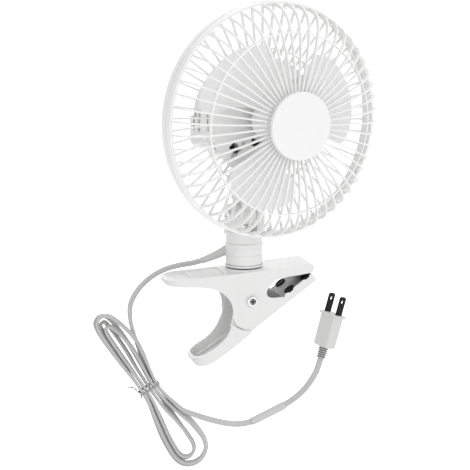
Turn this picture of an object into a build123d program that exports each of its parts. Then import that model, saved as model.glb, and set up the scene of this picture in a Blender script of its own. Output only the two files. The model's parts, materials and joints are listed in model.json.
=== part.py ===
"""Clip fan: a six inch desk fan on a neck that stands on a sprung clip.

Millimetres, +Z up. The clip lies along X with its jaws toward +X, and its
pivot runs along Y. The fan faces -Y, turned a little toward +X on its neck.
The work is drawn about the neck axis and moved at the end, so that the
origin is the middle of the grip between the two jaws.
"""
import math
import os

from build123d import *

# ---------------------------------------------------------------- clip
CLIP_WIDTH = 38.0
CLIP_WALL = 2.2
TOP_WALL = 2.4
SIDE_GAP = 0.3
CLIP_TIP_X = -67.0
JAW_TIP_X = 53.4
TOP_RISE = 0.0645
TOP_AT_NECK = 0.35
HANDLE_ROUND = 14.0
LOWER_TIP_X = -45.6
FLARE_R = 24.6
FLARE_END_X = 1.0
GRIP_WALL = 2.0
PIVOT_X = 1.3
PIVOT_Z = -23.1
PIVOT_R = 3.0
PIVOT_HEAD_R = 4.3
PIN_GAP = 0.1
LUG_R = 10.0
PAD_R = 4.6
PAD_PROUD = 1.0
PAD_EDGE = 6.4
PAD_PITCH = 16.6
SPRING_WIRE = 1.6
SPRING_R = 6.6
SPRING_PITCH = 2.1
SPRING_TURNS = 5
LOWER_LEG = 239.0
LOWER_LEG_LONG = 29.5
UPPER_LEG = 147.0
UPPER_LEG_LONG = 24.0

# ---------------------------------------------------------------- neck
NECK_R = 15.0
NECK_TOP = 22.0
SEAM_GAP = 0.15
SPIGOT_R = 11.2
RUN_GAP = 0.3
TILT_Z = 44.0
TILT_R = 10.0
TILT_PIN_R = 2.4
TONGUE_HALF = 6.2
HEAD_TURN = 14.5
HEAD_Z = 125.0

# ---------------------------------------------------------------- head
FRONT_RIBS = 54
REAR_RIBS = 56
RIB_THICK = 1.2
RIB_DEPTH = 2.8
RING_R = 92.0
RING_WALL = 2.2
FRONT_RING_Z = 40.4
FRONT_RING_HIGH = 7.0
REAR_RING_HIGH = 6.2
RING_GAP = 0.8
MID_RING_INSET = 22.0
MID_RING_THICK = 1.1
REAR_MID_RING_R = 54.6
BADGE_R = 26.0
BADGE_Z = 83.4
BOSS_R = 21.0
TONGUES = 6
HOUSING_R = 44.0
HOUSING_DROP = 25.0
SWITCH_ROOM = 7.0
HOUSING_WALL = 2.4
BOSS_INSET = 4.6
PLATE_Z = 29.0
PLATE_WALL = 2.6
SHAFT_R = 3.0
AIR_GAP = 0.3
ROTOR_R = 14.3
STATOR_R = 30.0
BLADE_R = 70.0
BLADE_LEAD = -11.0
BLADE_THICK = 1.6
BLADE_MID_Z = 49.7
BLADE_TURN = 14.5
FAN_HUB_R = 17.0
KNOB_R = 9.0

# ---------------------------------------------------------------- cord
CORD_WIDTH = 5.0
CORD_THICK = 2.8
CORD_TUBE = 4.0
HANK_AT = (-76.4, 12.0, -97.0)
HANK_LEAN = 31.6
COLUMN = 3.3
LAYER = 5.5
GLAND_R = 4.0
GLAND_OUT = 1.4
GLAND_DIR = (-0.788, 0.368, -0.494)
GLAND_AT = (-13.6, 6.3, 14.3)
SLEEVE_LONG = 31.0
PLUG_DIR = (0.265, 0.0, 0.964)
PLUG_AT = (68.4, 8.0, -81.0)
PLUG_TURN = -62.0
RELIEF_LONG = 9.5
PLUG_LONG = 27.0
PLUG_WIDE = 17.4
PLUG_THICK = 11.6
BLADE_GAP = 12.7

# ---------------------------------------------------------------- origin
GRIP_X = 43.0
GRIP_Z = -7.6

nodes = {}


def top_z(x):
    """Height of the clip's top face above x."""
    return TOP_AT_NECK + TOP_RISE * x


def corner(before, here, after, radius):
    """Tangent points and middle of the arc that rounds a corner."""
    ax, az = before[0] - here[0], before[1] - here[1]
    bx, bz = after[0] - here[0], after[1] - here[1]
    la, lb = math.hypot(ax, az), math.hypot(bx, bz)
    ax, az, bx, bz = ax / la, az / la, bx / lb, bz / lb
    half = math.acos(max(-1.0, min(1.0, ax * bx + az * bz))) / 2
    if math.pi / 2 - half < 0.004:
        return None
    longest = 0.45 * min(la, lb)
    reach = longest if radius is None else min(radius / math.tan(half), longest)
    r = reach * math.tan(half)
    mx, mz = ax + bx, az + bz
    lm = math.hypot(mx, mz)
    away = r / math.sin(half) - r
    first = (here[0] + ax * reach, here[1] + az * reach)
    last = (here[0] + bx * reach, here[1] + bz * reach)
    middle = (here[0] + mx / lm * away, here[1] + mz / lm * away)
    return first, middle, last


def outline(points):
    """Edges of a closed outline of (a, b, radius); radius None is as large as fits."""
    edges = []
    n = len(points)
    rounds = []
    for i, (a, b, radius) in enumerate(points):
        cut = None
        if radius != 0:
            cut = corner(points[i - 1], (a, b), points[(i + 1) % n], radius)
        rounds.append(cut if cut else ((a, b), None, (a, b)))
    for i, (first, middle, last) in enumerate(rounds):
        start = rounds[i - 1][2]
        if math.dist(start, first) > 1e-4:
            edges.append(Line((*start, 0), (*first, 0)))
        if middle:
            edges.append(ThreePointArc((*first, 0), (*middle, 0), (*last, 0)))
    return edges


def slab_y(points, y0, y1):
    """Solid of an outline in X and Z between two Y planes."""
    flat = make_face(outline(points))
    return Pos(0, y1, 0) * Rot(90, 0, 0) * extrude(flat, amount=y1 - y0)


def slab_z(points, z0, z1):
    """Solid of an outline in X and Y between two heights."""
    return Pos(0, 0, z0) * extrude(make_face(outline(points)), amount=z1 - z0)


def rod(start, end, radius):
    """Cylinder between two points."""
    a, b = Vector(*start), Vector(*end)
    plane = Plane(origin=a, z_dir=(b - a).normalized())
    return plane * Cylinder(radius, (b - a).length, align=(Align.CENTER, Align.CENTER, Align.MIN))


def up_cyl(radius, z0, z1, x=0.0, y=0.0):
    """Upright cylinder between two heights."""
    return Pos(x, y, (z0 + z1) / 2) * Cylinder(radius, z1 - z0)


def spun(points):
    """Solid turned about Z from an outline of (radius, z, round)."""
    face = Rot(90, 0, 0) * make_face(outline(points))
    return revolve(face, Axis.Z, 360)


def tube(points, radii, profile):
    """Profile swept along straight runs joined by tangent arcs."""
    path = FilletPolyline(*points, radius=radii)
    start = Plane(origin=path @ 0, z_dir=path % 0)
    return sweep(start * profile, path=path)


def run_radii(points, label):
    """Largest tangent arc for each bend, printed."""
    radii = []
    for a, b, c in zip(points, points[1:], points[2:]):
        one, two = Vector(*b) - Vector(*a), Vector(*c) - Vector(*b)
        half = math.radians(one.get_angle(two)) / 2
        radii.append(0.45 * min(one.length, two.length) / math.tan(half))
    print(label, "bend radii", [round(r, 1) for r in radii])
    return radii


# ================================================================ clip, upper half
T = 0.45
UPPER_SIDE = [
    (CLIP_TIP_X, top_z(CLIP_TIP_X), 1.2),
    (JAW_TIP_X, top_z(JAW_TIP_X), 1.4),
    (52.6, -2.7, 0.8),
    (41.3, -4.1, None),
    (28.7, -5.5, None),
    (21.2, -7.1, None),
    (17.6, -10.8, None),
    (14.6, -14.0, None),
    (13.3, -17.4, None),
    (14.8, -20.6, None),
    (18.2, -21.7, None),
    (26.6, -21.4, 1.0),
    (28.4, -24.4, 1.2),
    (16.3, -32.6, None),
    (4.7, -40.6, None),
    (-4.0, -46.6, 2.4),
    (-11.6, -42.4, None),
    (-14.0, -36.4, None),
    (-13.8, -28.6, None),
    (-15.6, -23.4, None),
    (-18.9, -18.8, None),
    (-23.6, -15.0, None),
    (-29.2, -12.0, None),
    (-37.4, -10.2, None),
    (-45.6, -9.5, None),
    (-57.8, -8.8, None),
    (CLIP_TIP_X, -8.2, 1.2),
]


def clip_plan(inset, tip_x, jaw_x, z0, z1):
    """Plan shape of the clip, rounded at the handle."""
    half = CLIP_WIDTH / 2 - inset
    r = HANDLE_ROUND - inset
    points = [(tip_x + inset, -half, r), (jaw_x, -half, 1.2), (jaw_x, half, 1.2), (tip_x + inset, half, r)]
    return slab_z(points, z0, z1)


def hole_y(x, z, radius, y0, y1):
    """Bore along Y."""
    return Pos(x, (y0 + y1) / 2, z) * Rot(90, 0, 0) * Cylinder(radius, y1 - y0)


def make_upper_half():
    """Top plate, side walls, grip plate and neck boss in one moulding."""
    half = CLIP_WIDTH / 2
    shell = slab_y(UPPER_SIDE, -half, half) & clip_plan(0, CLIP_TIP_X, JAW_TIP_X + 1, -60, 12)
    room = [
        (CLIP_TIP_X, top_z(CLIP_TIP_X) - TOP_WALL, 0),
        (51.0, top_z(51.0) - TOP_WALL, 0.6),
        (51.0, -2.9 + GRIP_WALL, 0),
        (28.7, -5.5 + GRIP_WALL, 0),
        (20.0, -5.2, 0),
        (20.0, -10.0, 0),
        (34.0, -10.0, 0),
        (34.0, -60.0, 0),
        (CLIP_TIP_X, -60.0, 0),
    ]
    inner = slab_y(room, -half + CLIP_WALL, half - CLIP_WALL)
    inner &= clip_plan(CLIP_WALL, CLIP_TIP_X, 51.5, -70, 12)
    part = shell - inner
    # finger hollow in the top of the handle, with a deeper end
    for x0, x1, y, deep in ((-64.5, -19.5, 14.4, 0.8), (-62.5, -47.0, 11.0, 1.3)):
        dish = [(x0, top_z(x0) - deep, 0), (x1, top_z(x1) - deep, 0), (x1, 8, 0), (x0, 8, 0)]
        r = HANDLE_ROUND - (half - y)
        plan = [(x0, -y, r), (x1, -y, 4.0), (x1, y, 4.0), (x0, y, r)]
        part -= slab_y(dish, -y, y) & slab_z(plan, -20, 20)
    # neck boss above and below the plate
    part += up_cyl(NECK_R + 0.2, -1.6, 1.4) - up_cyl(SPIGOT_R, -3, 0)
    part += up_cyl(11.0, -3.6, 0.2)
    part -= up_cyl(3.4, -8, 4)
    # ribs under the handle
    for y in (-9.5, 9.5):
        rib = [(-62, top_z(-62) - 1.6, 0), (-14, top_z(-14) - 1.6, 0), (-14, -5.2, 0), (-62, -7.4, 0)]
        part += slab_y(rib, y - 0.7, y + 0.7)
    # pivot eyes
    for side in (-1, 1):
        a, b = sorted((side * (half + 0.8), side * (half - CLIP_WALL)))
        part += hole_y(PIVOT_X, PIVOT_Z, PIVOT_HEAD_R + 1.3, a, b)
        part -= hole_y(PIVOT_X, PIVOT_Z, PIVOT_R + 0.02, a - 1, b + 1)
    return part


# ================================================================ clip, lower half
LOWER_SIDE = [
    (52.0, -3.9, 0.8),
    (56.4, -9.6, 1.0),
    (41.4, -20.2, None),
    (24.7, -31.9, None),
    (4.7, -46.6, None),
    (-8.6, -56.9, None),
    (-21.1, -65.9, None),
    (-31.0, -71.8, None),
    (-37.4, -74.4, None),
    (-41.6, -75.2, None),
    (-44.6, -73.6, None),
    (LOWER_TIP_X, -69.4, 0.8),
    (-41.7, -67.6, None),
    (-29.3, -61.1, None),
    (-23.5, -56.7, None),
    (-19.2, -51.9, None),
    (-15.9, -45.4, None),
    (-14.0, -37.8, None),
    (-12.6, -30.0, None),
    (-9.4, -22.0, None),
    (-5.6, -15.6, None),
    (1.3, -13.0, None),
    (8.0, -14.6, None),
    (14.6, -15.4, None),
    (21.4, -17.9, None),
    (25.4, -21.6, 1.0),
    (27.1, -22.1, 1.0),
]


LOWER_ROOM = [
    (51.4, -6.9, 0),
    (53.2, -9.3, 0),
    (3.4, -44.9, 0),
    (-9.9, -55.1, 0),
    (-22.4, -64.1, 0),
    (-32.0, -69.8, 0),
    (-37.4, -72.1, 0),
    (-41.4, -72.7, 0),
    (-43.0, -71.6, 0),
    (-60.0, -60.0, 0),
    (-60.0, 10.0, 0),
    (17.0, 10.0, 0),
    (17.0, -28.4, 0),
    (20.6, -27.0, 0),
    (28.3, -24.1, 0),
]


def lower_block(points, half, inset):
    """Outline of the lower half between two side planes, its handle's end rounded in plan."""
    tip = LOWER_TIP_X + inset
    r = HANDLE_ROUND - CLIP_WIDTH / 2 + half
    plan = [(tip, -half, r), (58, -half, 0), (58, half, 0), (tip, half, r)]
    return slab_y(points, -half, half) & slab_z(plan, -90, 20)


def make_lower_half():
    """Floor, side walls, grip plate and pivot lugs in one moulding, the handle as wide as the clip."""
    half = CLIP_WIDTH / 2 - CLIP_WALL - SIDE_GAP
    inside = half - CLIP_WALL
    part = lower_block(LOWER_SIDE, half, 0.0) - lower_block(LOWER_ROOM, inside, CLIP_WALL)
    # the handle flares out past the side walls of the upper half
    handle = Pos(FLARE_END_X - 50, 0, -50) * Box(100, 60, 120)
    flare = lower_block(LOWER_SIDE, CLIP_WIDTH / 2, 0.0) & handle
    flare -= hole_y(PIVOT_X, PIVOT_Z, FLARE_R, -40, 40)
    room = lower_block(LOWER_ROOM, CLIP_WIDTH / 2 - CLIP_WALL, CLIP_WALL) & handle
    room -= hole_y(PIVOT_X, PIVOT_Z, FLARE_R + CLIP_WALL, -40, 40)
    near = lower_block(LOWER_ROOM, inside, CLIP_WALL)
    part = part + (flare - near) - room
    # ribs on the floor of the handle
    for y in (-8.0, 8.0):
        rib = [(-9.9, -55.8, 0), (-38.0, -72.6, 0), (-37.0, -70.4, 0), (-10.8, -53.6, 0)]
        part += slab_y(rib, y - 0.7, y + 0.7)
    for side in (-1, 1):
        a, b = sorted((side * half, side * (inside - 1.4)))
        part += hole_y(PIVOT_X, PIVOT_Z, 6.0, a, b)
        part -= hole_y(PIVOT_X, PIVOT_Z, PIVOT_R + PIN_GAP, a - 1, b + 1)
    return part


GRIP_SLOPE = math.degrees(math.atan2(18.2, 24.9))
LOWER_GRIP = (27.1, -22.1)
UPPER_GRIP = (28.7, -5.5)


def grip_pads(base, slope, side, spots):
    """Two rows of round rubber pads on a grip plate, as one group of solids."""
    dots = []
    profile = [(0, -0.8, 0), (PAD_R, -0.8, 0), (PAD_R, PAD_PROUD, 0.4), (PAD_R - 1.5, PAD_PROUD, 0.2)]
    dot = spun(profile + [(PAD_R - 1.9, PAD_PROUD - 0.4, 0.2), (0, PAD_PROUD - 0.4, 0)])
    if side < 0:
        dot = Rot(180, 0, 0) * dot
    for row in (-1, 1):
        for along in spots:
            place = Pos(base[0], row * (CLIP_WIDTH / 2 - PAD_EDGE), base[1]) * Rot(0, -slope, 0)
            dots.append(place * Pos(along, 0, 0) * dot)
    return dots


upper_half = make_upper_half()
lower_half = make_lower_half()
lower_pads = grip_pads(LOWER_GRIP, GRIP_SLOPE, 1, (9.0, 9.0 + PAD_PITCH))
upper_pads = grip_pads(UPPER_GRIP, math.degrees(math.atan2(1.4, 12.6)), -1, (5.2, 15.2))
for dot in lower_pads:
    lower_half -= dot
for dot in upper_pads:
    upper_half -= dot

nodes["clip_upper_half"] = upper_half
nodes["clip_lower_half"] = lower_half
nodes["lower_jaw_pads"] = Compound(children=lower_pads)
nodes["upper_jaw_pads"] = Compound(children=upper_pads)

# ---------------------------------------------------------------- pivot screw, nut and spring
HALF = CLIP_WIDTH / 2
screw = hole_y(PIVOT_X, PIVOT_Z, PIVOT_R, -HALF - 0.8, HALF + 1.0)
head = Pos(PIVOT_X, -HALF - 0.8, PIVOT_Z) * Rot(90, 0, 0)
dome = head * Pos(0, 0, 1.1) * Cylinder(PIVOT_HEAD_R, 2.2)
dome = fillet(dome.edges().sort_by(Axis.Y)[0], 1.0)
cross = head * Pos(0, 0, 1.7) * (Box(4.6, 1.1, 1.4) + Box(1.1, 4.6, 1.4))
nodes["pivot_screw"] = screw + dome - cross
nut = Pos(PIVOT_X, HALF + 2.3, PIVOT_Z) * Rot(90, 0, 0)
nodes["pivot_nut"] = nut * extrude(RegularPolygon(4.6, 6), amount=1.5, both=True) - hole_y(
    PIVOT_X, PIVOT_Z, PIVOT_R + 0.02, HALF, HALF + 1.0
)


def make_spring():
    """Torsion spring about the pivot, a leg along each handle, one unbroken wire."""
    start, end = math.radians(LOWER_LEG - 270), math.radians(UPPER_LEG - 90 + 360 * SPRING_TURNS)
    rise = SPRING_PITCH / (2 * math.pi)
    steps = 7 * SPRING_TURNS
    part_turn = (end - start) / steps
    wide = SPRING_R / math.cos(part_turn / 2)

    def spot(angle, radius, along=0.0):
        x = PIVOT_X + radius * math.cos(angle) + along * math.sin(angle)
        z = PIVOT_Z + radius * math.sin(angle) - along * math.cos(angle)
        return (x, rise * (angle - (start + end) / 2), z)

    points = [spot(start, SPRING_R, LOWER_LEG_LONG)]
    points += [spot(start + part_turn * (k + 0.5), wide) for k in range(steps)]
    points.append(spot(end, SPRING_R, -UPPER_LEG_LONG))
    print("spring gap between turns", round(SPRING_PITCH - SPRING_WIRE, 2))
    return tube(points, 0.985 * SPRING_R, Circle(SPRING_WIRE / 2))


nodes["clip_spring"] = make_spring()

# ================================================================ neck
collar = up_cyl(NECK_R + 0.2, 2.6, 4.0) + up_cyl(NECK_R - 1.5, 4.0, 5.0) + up_cyl(NECK_R, 5.0, 19.4)
collar += up_cyl(NECK_R + 0.3, 19.4, NECK_TOP)
collar = fillet(collar.edges().filter_by(GeomType.CIRCLE).group_by(Axis.Z)[-1], 0.7)
collar -= up_cyl(SPIGOT_R + RUN_GAP, 1, 30)
collar -= up_cyl(NECK_R + 1, 12.2, 12.6) - up_cyl(NECK_R - 0.35, 12, 13)
gland_axis = Vector(*GLAND_DIR)
gland_at = Vector(*GLAND_AT)
collar -= rod(tuple(gland_at - gland_axis * 3), tuple(gland_at + gland_axis * 9), GLAND_R + 0.05)
nodes["neck_collar"] = collar
nodes["neck_washer"] = up_cyl(NECK_R - 1.2, 1.4, 2.6) - up_cyl(SPIGOT_R + RUN_GAP, 1, 3)

gland = rod(tuple(gland_at - gland_axis * 2), tuple(gland_at + gland_axis * GLAND_OUT), GLAND_R)
gland -= up_cyl(SPIGOT_R + RUN_GAP + 0.5, -10, 40)
nodes["cord_gland"] = gland

stem = up_cyl(SPIGOT_R, 1.8, NECK_TOP + 1) + up_cyl(NECK_R, NECK_TOP + SEAM_GAP, 31.0)
stem -= up_cyl(2.0, 1, 12)
cheek_side = [(-TILT_R, 28.0, 0), (TILT_R, 28.0, 0), (TILT_R, TILT_Z, 0), (-TILT_R, TILT_Z, 0)]
for side in (-1, 1):
    a, b = sorted((side * (TONGUE_HALF + RUN_GAP), side * 13.4))
    cheek = Pos((a + b) / 2, 0, (28 + TILT_Z) / 2) * Box(b - a, 2 * TILT_R, TILT_Z - 28)
    cheek += Pos((a + b) / 2, 0, TILT_Z) * Rot(0, 90, 0) * Cylinder(TILT_R, b - a)
    stem += cheek
stem -= Pos(0, 0, TILT_Z) * Rot(0, 90, 0) * Cylinder(TILT_PIN_R, 60)
nodes["neck_stem"] = stem
swivel = up_cyl(1.96, -6.4, 11.0) + up_cyl(3.1, -4.6, 1.8) + up_cyl(4.6, -7.6, -4.9)
swivel -= up_cyl(0.5, -8, -6) + Pos(0, 0, -7.4) * (Box(5, 0.9, 1.4) + Box(0.9, 5, 1.4))
nodes["swivel_screw"] = swivel
nodes["swivel_washer"] = up_cyl(8.5, -4.9, -3.9) - up_cyl(3.14, -6, -2)
tilt_bolt = Pos(0, 0, TILT_Z) * Rot(0, 90, 0) * Cylinder(TILT_PIN_R, 31)
tilt_head = Pos(-14.9, 0, TILT_Z) * Rot(0, 90, 0) * Cylinder(5.0, 3.0)
tilt_head = fillet(tilt_head.edges().sort_by(Axis.X)[0], 0.9)
slot = Pos(-16.2, 0, TILT_Z) * (Box(1.4, 6.0, 1.1) + Box(1.4, 1.1, 6.0))
nodes["tilt_bolt"] = tilt_bolt + tilt_head - slot
tilt_nut = Pos(13.4, 0, TILT_Z) * Rot(0, 90, 0) * extrude(RegularPolygon(5.0, 6), amount=3.4)
nodes["tilt_nut"] = tilt_nut - Pos(10, 0, TILT_Z) * Rot(0, 90, 0) * Cylinder(TILT_PIN_R + 0.02, 11.02)

# ================================================================ head, drawn with +Z forward
MID_RING_R = RING_R - MID_RING_INSET
HOUSING_BACK = -9.0 - SWITCH_ROOM
REAR_RING_Z = FRONT_RING_Z - RING_GAP - REAR_RING_HIGH
FRONT_SKIN = [
    (RING_R - 1.0, FRONT_RING_Z + FRONT_RING_HIGH),
    (RING_R - 3.8, 57.0),
    (RING_R - 8.6, 64.0),
    (RING_R - 15.6, 69.0),
    (MID_RING_R, 71.6),
    (58.0, 74.7),
    (48.0, 76.3),
    (38.0, 77.2),
    (BOSS_R, 77.8),
]


def offset_line(points, depth):
    """Same line moved square to itself, toward the axis and backward."""
    moved = []
    for i, (r, z) in enumerate(points):
        r0, z0 = points[max(0, i - 1)]
        r1, z1 = points[min(len(points) - 1, i + 1)]
        dr, dz = r1 - r0, z1 - z0
        long = math.hypot(dr, dz)
        moved.append((r - dz / long * depth, z + dr / long * depth))
    return moved


def wedge_slots(r0, r1, z0, z1, count, thick, first):
    """Openings between radial ribs of even thickness, the first rib at an angle in degrees."""
    faces = []
    step = 2 * math.pi / count
    for k in range(count):
        a = math.radians(first) + k * step
        b = a + step
        ring = []
        for r, side in ((r0, 1), (r1, 1), (r1, -1), (r0, -1)):
            lean = math.asin(thick / 2 / r)
            angle = a + lean if side > 0 else b - lean
            ring.append((r * math.cos(angle), r * math.sin(angle)))
        faces.append(make_face(Polyline(*ring, close=True)))
    solids = []
    for face in faces:
        solids.append(Pos(0, 0, z0) * extrude(face, amount=z1 - z0))
    return solids


GRILLE_SCREW_Z = FRONT_RING_Z - RING_GAP - 1.5


def grille_screw_rod(start, end, radius):
    """Cylinder below the guard, from one inset of the ring to another."""
    return rod((0, start - RING_R, GRILLE_SCREW_Z), (0, end - RING_R, GRILLE_SCREW_Z), radius)


def make_front_grille():
    """Domed guard: ring, ribs, mid ring and raised boss as one moulding."""
    inner = offset_line(FRONT_SKIN, RIB_DEPTH)
    ring_top = FRONT_RING_Z + FRONT_RING_HIGH
    ring_in = RING_R - RING_WALL
    profile = [(RING_R, FRONT_RING_Z, 0.6), (RING_R, ring_top - 0.4, 0.6)]
    profile += [(r, z, 0) for r, z in FRONT_SKIN]
    profile += [(BOSS_R, BADGE_Z, 0), (BOSS_R - 3.0, BADGE_Z, 0), (BOSS_R - 3.0, inner[-1][1], 0)]
    profile += [(r, z, 0) for r, z in reversed(inner[:-1])]
    profile += [(ring_in, ring_top - 1.2, 0.5), (ring_in, FRONT_RING_Z, 0.6)]
    shell = spun(profile)
    half = MID_RING_THICK / 2
    first = 180.0 / FRONT_RIBS
    slots = wedge_slots(BOSS_R + 1.4, MID_RING_R - half, 30, 100, FRONT_RIBS, RIB_THICK, first)
    slots += wedge_slots(MID_RING_R + half, ring_in, 30, 100, FRONT_RIBS, RIB_THICK, first)
    slots += wedge_slots(ring_in - 0.5, RING_R + 2.0, ring_top, 100, FRONT_RIBS, RIB_THICK, first)
    guard = shell - slots
    guard += up_cyl(BOSS_R - 1.0, inner[-1][1], inner[-1][1] + 2.4)
    guard += up_cyl(5.6, inner[-1][1], BADGE_Z)
    guard -= up_cyl(3.2, 60, 90)
    # tongues that go inside the rear ring
    sector = [(ring_in - 10.0, -5.0, 0), (RING_R + 4.0, -5.0, 0), (RING_R + 4.0, 5.0, 0), (ring_in - 10.0, 5.0, 0)]
    hollow = up_cyl(ring_in - 1.9, FRONT_RING_Z - 20, FRONT_RING_Z + 20)
    band = up_cyl(ring_in - 0.1, REAR_RING_Z + 3.2, FRONT_RING_Z + 1.4) - hollow
    band += up_cyl(RING_R - 1.0, FRONT_RING_Z + 0.2, FRONT_RING_Z + 1.4) - hollow
    for k in range(TONGUES):
        tongue = band & slab_z(sector, FRONT_RING_Z - 10, FRONT_RING_Z + 10)
        guard += Rot(0, 0, 360.0 * k / TONGUES - 90.0) * tongue
    return guard - grille_screw_rod(12.0, -4.0, 1.12)


def make_rear_grille():
    """Shallow rear guard with the motor plate and its vent windows."""
    ring_in = RING_R - RING_WALL
    ring_top = FRONT_RING_Z - RING_GAP
    profile = [
        (RING_R, REAR_RING_Z, 1.4),
        (RING_R, ring_top, 0.4),
        (ring_in, ring_top, 0.4),
        (ring_in, REAR_RING_Z + 2.8, 0),
        (RING_R - 18.0, PLATE_Z + 6.2, 0),
        (HOUSING_R + 2, PLATE_Z + PLATE_WALL, 0),
        (4.2, PLATE_Z + PLATE_WALL, 0),
        (4.2, PLATE_Z, 0),
        (HOUSING_R + 2, PLATE_Z, 0),
        (RING_R - 18.0, PLATE_Z + 3.7, 0),
        (ring_in, REAR_RING_Z + 0.5, 0),
        (ring_in + 0.4, REAR_RING_Z, 0),
    ]
    shell = spun(profile)
    half = MID_RING_THICK / 2
    slots = wedge_slots(HOUSING_R + 3, REAR_MID_RING_R - half, 20, 60, REAR_RIBS, RIB_THICK, 2.6)
    slots += wedge_slots(REAR_MID_RING_R + half, ring_in, 20, 60, REAR_RIBS, RIB_THICK, 2.6)
    guard = shell - slots
    windows = []
    for radius, count, first, wide, high in ((34.2, 3, 219.8, 9.4, 7.4), (20.6, 3, 247.0, 8.8, 5.6)):
        for k in range(count):
            turn = Rot(0, 0, first + 360.0 * k / count)
            windows.append(turn * Pos(radius, 0, PLATE_Z + 1) * Box(high, wide, 8))
    guard -= windows
    guard -= [Rot(0, 0, 45 + 90 * k) * up_cyl(1.7, 20, 40, x=27.0) for k in range(4)]
    guard -= [Rot(0, 0, 45 + 90 * k) * up_cyl(1.4, 20, 40, x=HOUSING_R - BOSS_INSET) for k in range(4)]
    return guard - grille_screw_rod(12.0, -4.0, 1.12)


def make_badge():
    """Plain domed disc that covers the middle of the front guard."""
    top = BADGE_Z + 3.2
    dome = [(BADGE_R, top, 0.8), (14.0, top + 1.4, None), (0, top + 1.8, 0)]
    disc = spun([(0, BADGE_Z, 0), (BADGE_R, BADGE_Z, 0), *dome])
    return disc + up_cyl(3.1, BADGE_Z - 6.0, BADGE_Z + 0.4)


def make_housing():
    """Motor cover with vent slots and the arm that goes down to the tilt joint."""
    back = HOUSING_BACK
    outer = spun([(0, back, 0), (HOUSING_R - 5.0, back, 6.0), (HOUSING_R, PLATE_Z, 0), (0, PLATE_Z, 0)])
    room_r = HOUSING_R - HOUSING_WALL
    room_back = back + HOUSING_WALL
    room_side = [(room_r - 5.0, room_back, 4.4), (room_r, PLATE_Z, 0), (room_r, 60.0, 0)]
    inner = spun([(0, room_back, 0), *room_side, (0, 60.0, 0)])
    # square lower corners
    wide = HOUSING_R - 2.4
    chin = [(-wide, 0, 0), (-wide, -HOUSING_DROP, 6.0), (wide, -HOUSING_DROP, 6.0), (wide, 0, 0)]
    outer += slab_z(chin, back + 3.0, PLATE_Z - 6.0)
    wide -= HOUSING_WALL
    drop_in = HOUSING_WALL - HOUSING_DROP
    room = [(-wide, 0, 0), (-wide, drop_in, 3.6), (wide, drop_in, 3.6), (wide, 0, 0)]
    inner += slab_z(room, back + 3.0 + HOUSING_WALL, PLATE_Z - 6.0 - HOUSING_WALL)
    drop = TILT_Z - HEAD_Z
    arm = Pos(0, (drop + 13 - 38) / 2, 0) * Box(18.0, abs(drop + 13 + 38), 18.0)
    arm = fillet(arm.edges().filter_by(Axis.Y), 5.0)
    neckdown = Pos(0, drop + 8, 0) * Box(2 * TONGUE_HALF, 16.0, 16.0)
    tongue = Pos(0, drop, 0) * Rot(0, 90, 0) * Cylinder(TILT_R - 0.6, 2 * TONGUE_HALF)
    cover = outer + arm + neckdown + tongue - inner
    cover -= Pos(0, drop, 0) * Rot(0, 90, 0) * Cylinder(TILT_PIN_R + PIN_GAP, 60)
    vents = [Pos(0, -3.5, z) * Box(2 * HOUSING_R + 10, 15.0, 3.0) for z in (-7.0, 1.0, 9.0, 17.0)]
    vents = [vent - Box(2 * HOUSING_R - 24, 40, 80) for vent in vents]
    for k in range(-3, 4):
        if k:
            vents.append(Pos(0, 6.2 * k, back) * Box(2 * math.sqrt(26.0**2 - (6.2 * k) ** 2) - 8, 2.4, 8))
    cover -= vents
    cover += up_cyl(12.5, back, back + 3.0)
    cover -= up_cyl(3.0, back - 4, back + 6)
    eye = HOUSING_R - BOSS_INSET
    cover += [Rot(0, 0, 45 + 90 * k) * up_cyl(3.2, 10, PLATE_Z, x=eye) for k in range(4)]
    return cover - [Rot(0, 0, 45 + 90 * k) * up_cyl(1.32, 12, 40, x=eye) for k in range(4)]


def make_stator():
    """Laminated ring with four poles around the rotor."""
    core = up_cyl(STATOR_R, 0, 18) - up_cyl(STATOR_R - 6, -1, 19)
    shoes = up_cyl(ROTOR_R + AIR_GAP + 3.4, 0, 18) - up_cyl(ROTOR_R + AIR_GAP, -1, 19)
    gaps = [Rot(0, 0, 45 + 90 * k) * Pos(16, 0, 9) * Box(12, 6.0, 30) for k in range(4)]
    poles = [Rot(0, 0, 90 * k) * Pos(21.2, 0, 9) * Box(8.4, 9.0, 18) for k in range(4)]
    core = core + (shoes - gaps) + poles
    bolts = [Rot(0, 0, 45 + 90 * k) * up_cyl(1.9, -1, 19, x=27.0) for k in range(4)]
    return core - bolts


def make_coils():
    """One winding round each pole."""
    coils = []
    for k in range(4):
        block = Box(4.2, 14.6, 24.0)
        coil = fillet(block.edges().filter_by(Axis.X), 1.4) - Box(9.0, 9.2, 18.2)
        coils.append(Rot(0, 0, 90 * k) * Pos(20.5, 0, 9) * coil)
    return Compound(children=coils)


def end_frame(z0, z1, bore):
    """Bearing carrier: a cross bar with a round middle and four screw eyes."""
    bars = [Rot(0, 0, 45 + 90 * k) * Pos(15, 0, (z0 + z1) / 2) * Box(26, 9.0, z1 - z0) for k in range(4)]
    eyes = [Rot(0, 0, 45 + 90 * k) * up_cyl(4.5, z0, z1, x=27.0) for k in range(4)]
    frame = up_cyl(11.0, z0, z1) + bars + eyes
    frame -= up_cyl(bore, z0 - 1, z1 + 1)
    return frame - [Rot(0, 0, 45 + 90 * k) * up_cyl(1.9, z0 - 1, z1 + 1, x=27.0) for k in range(4)]


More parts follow.
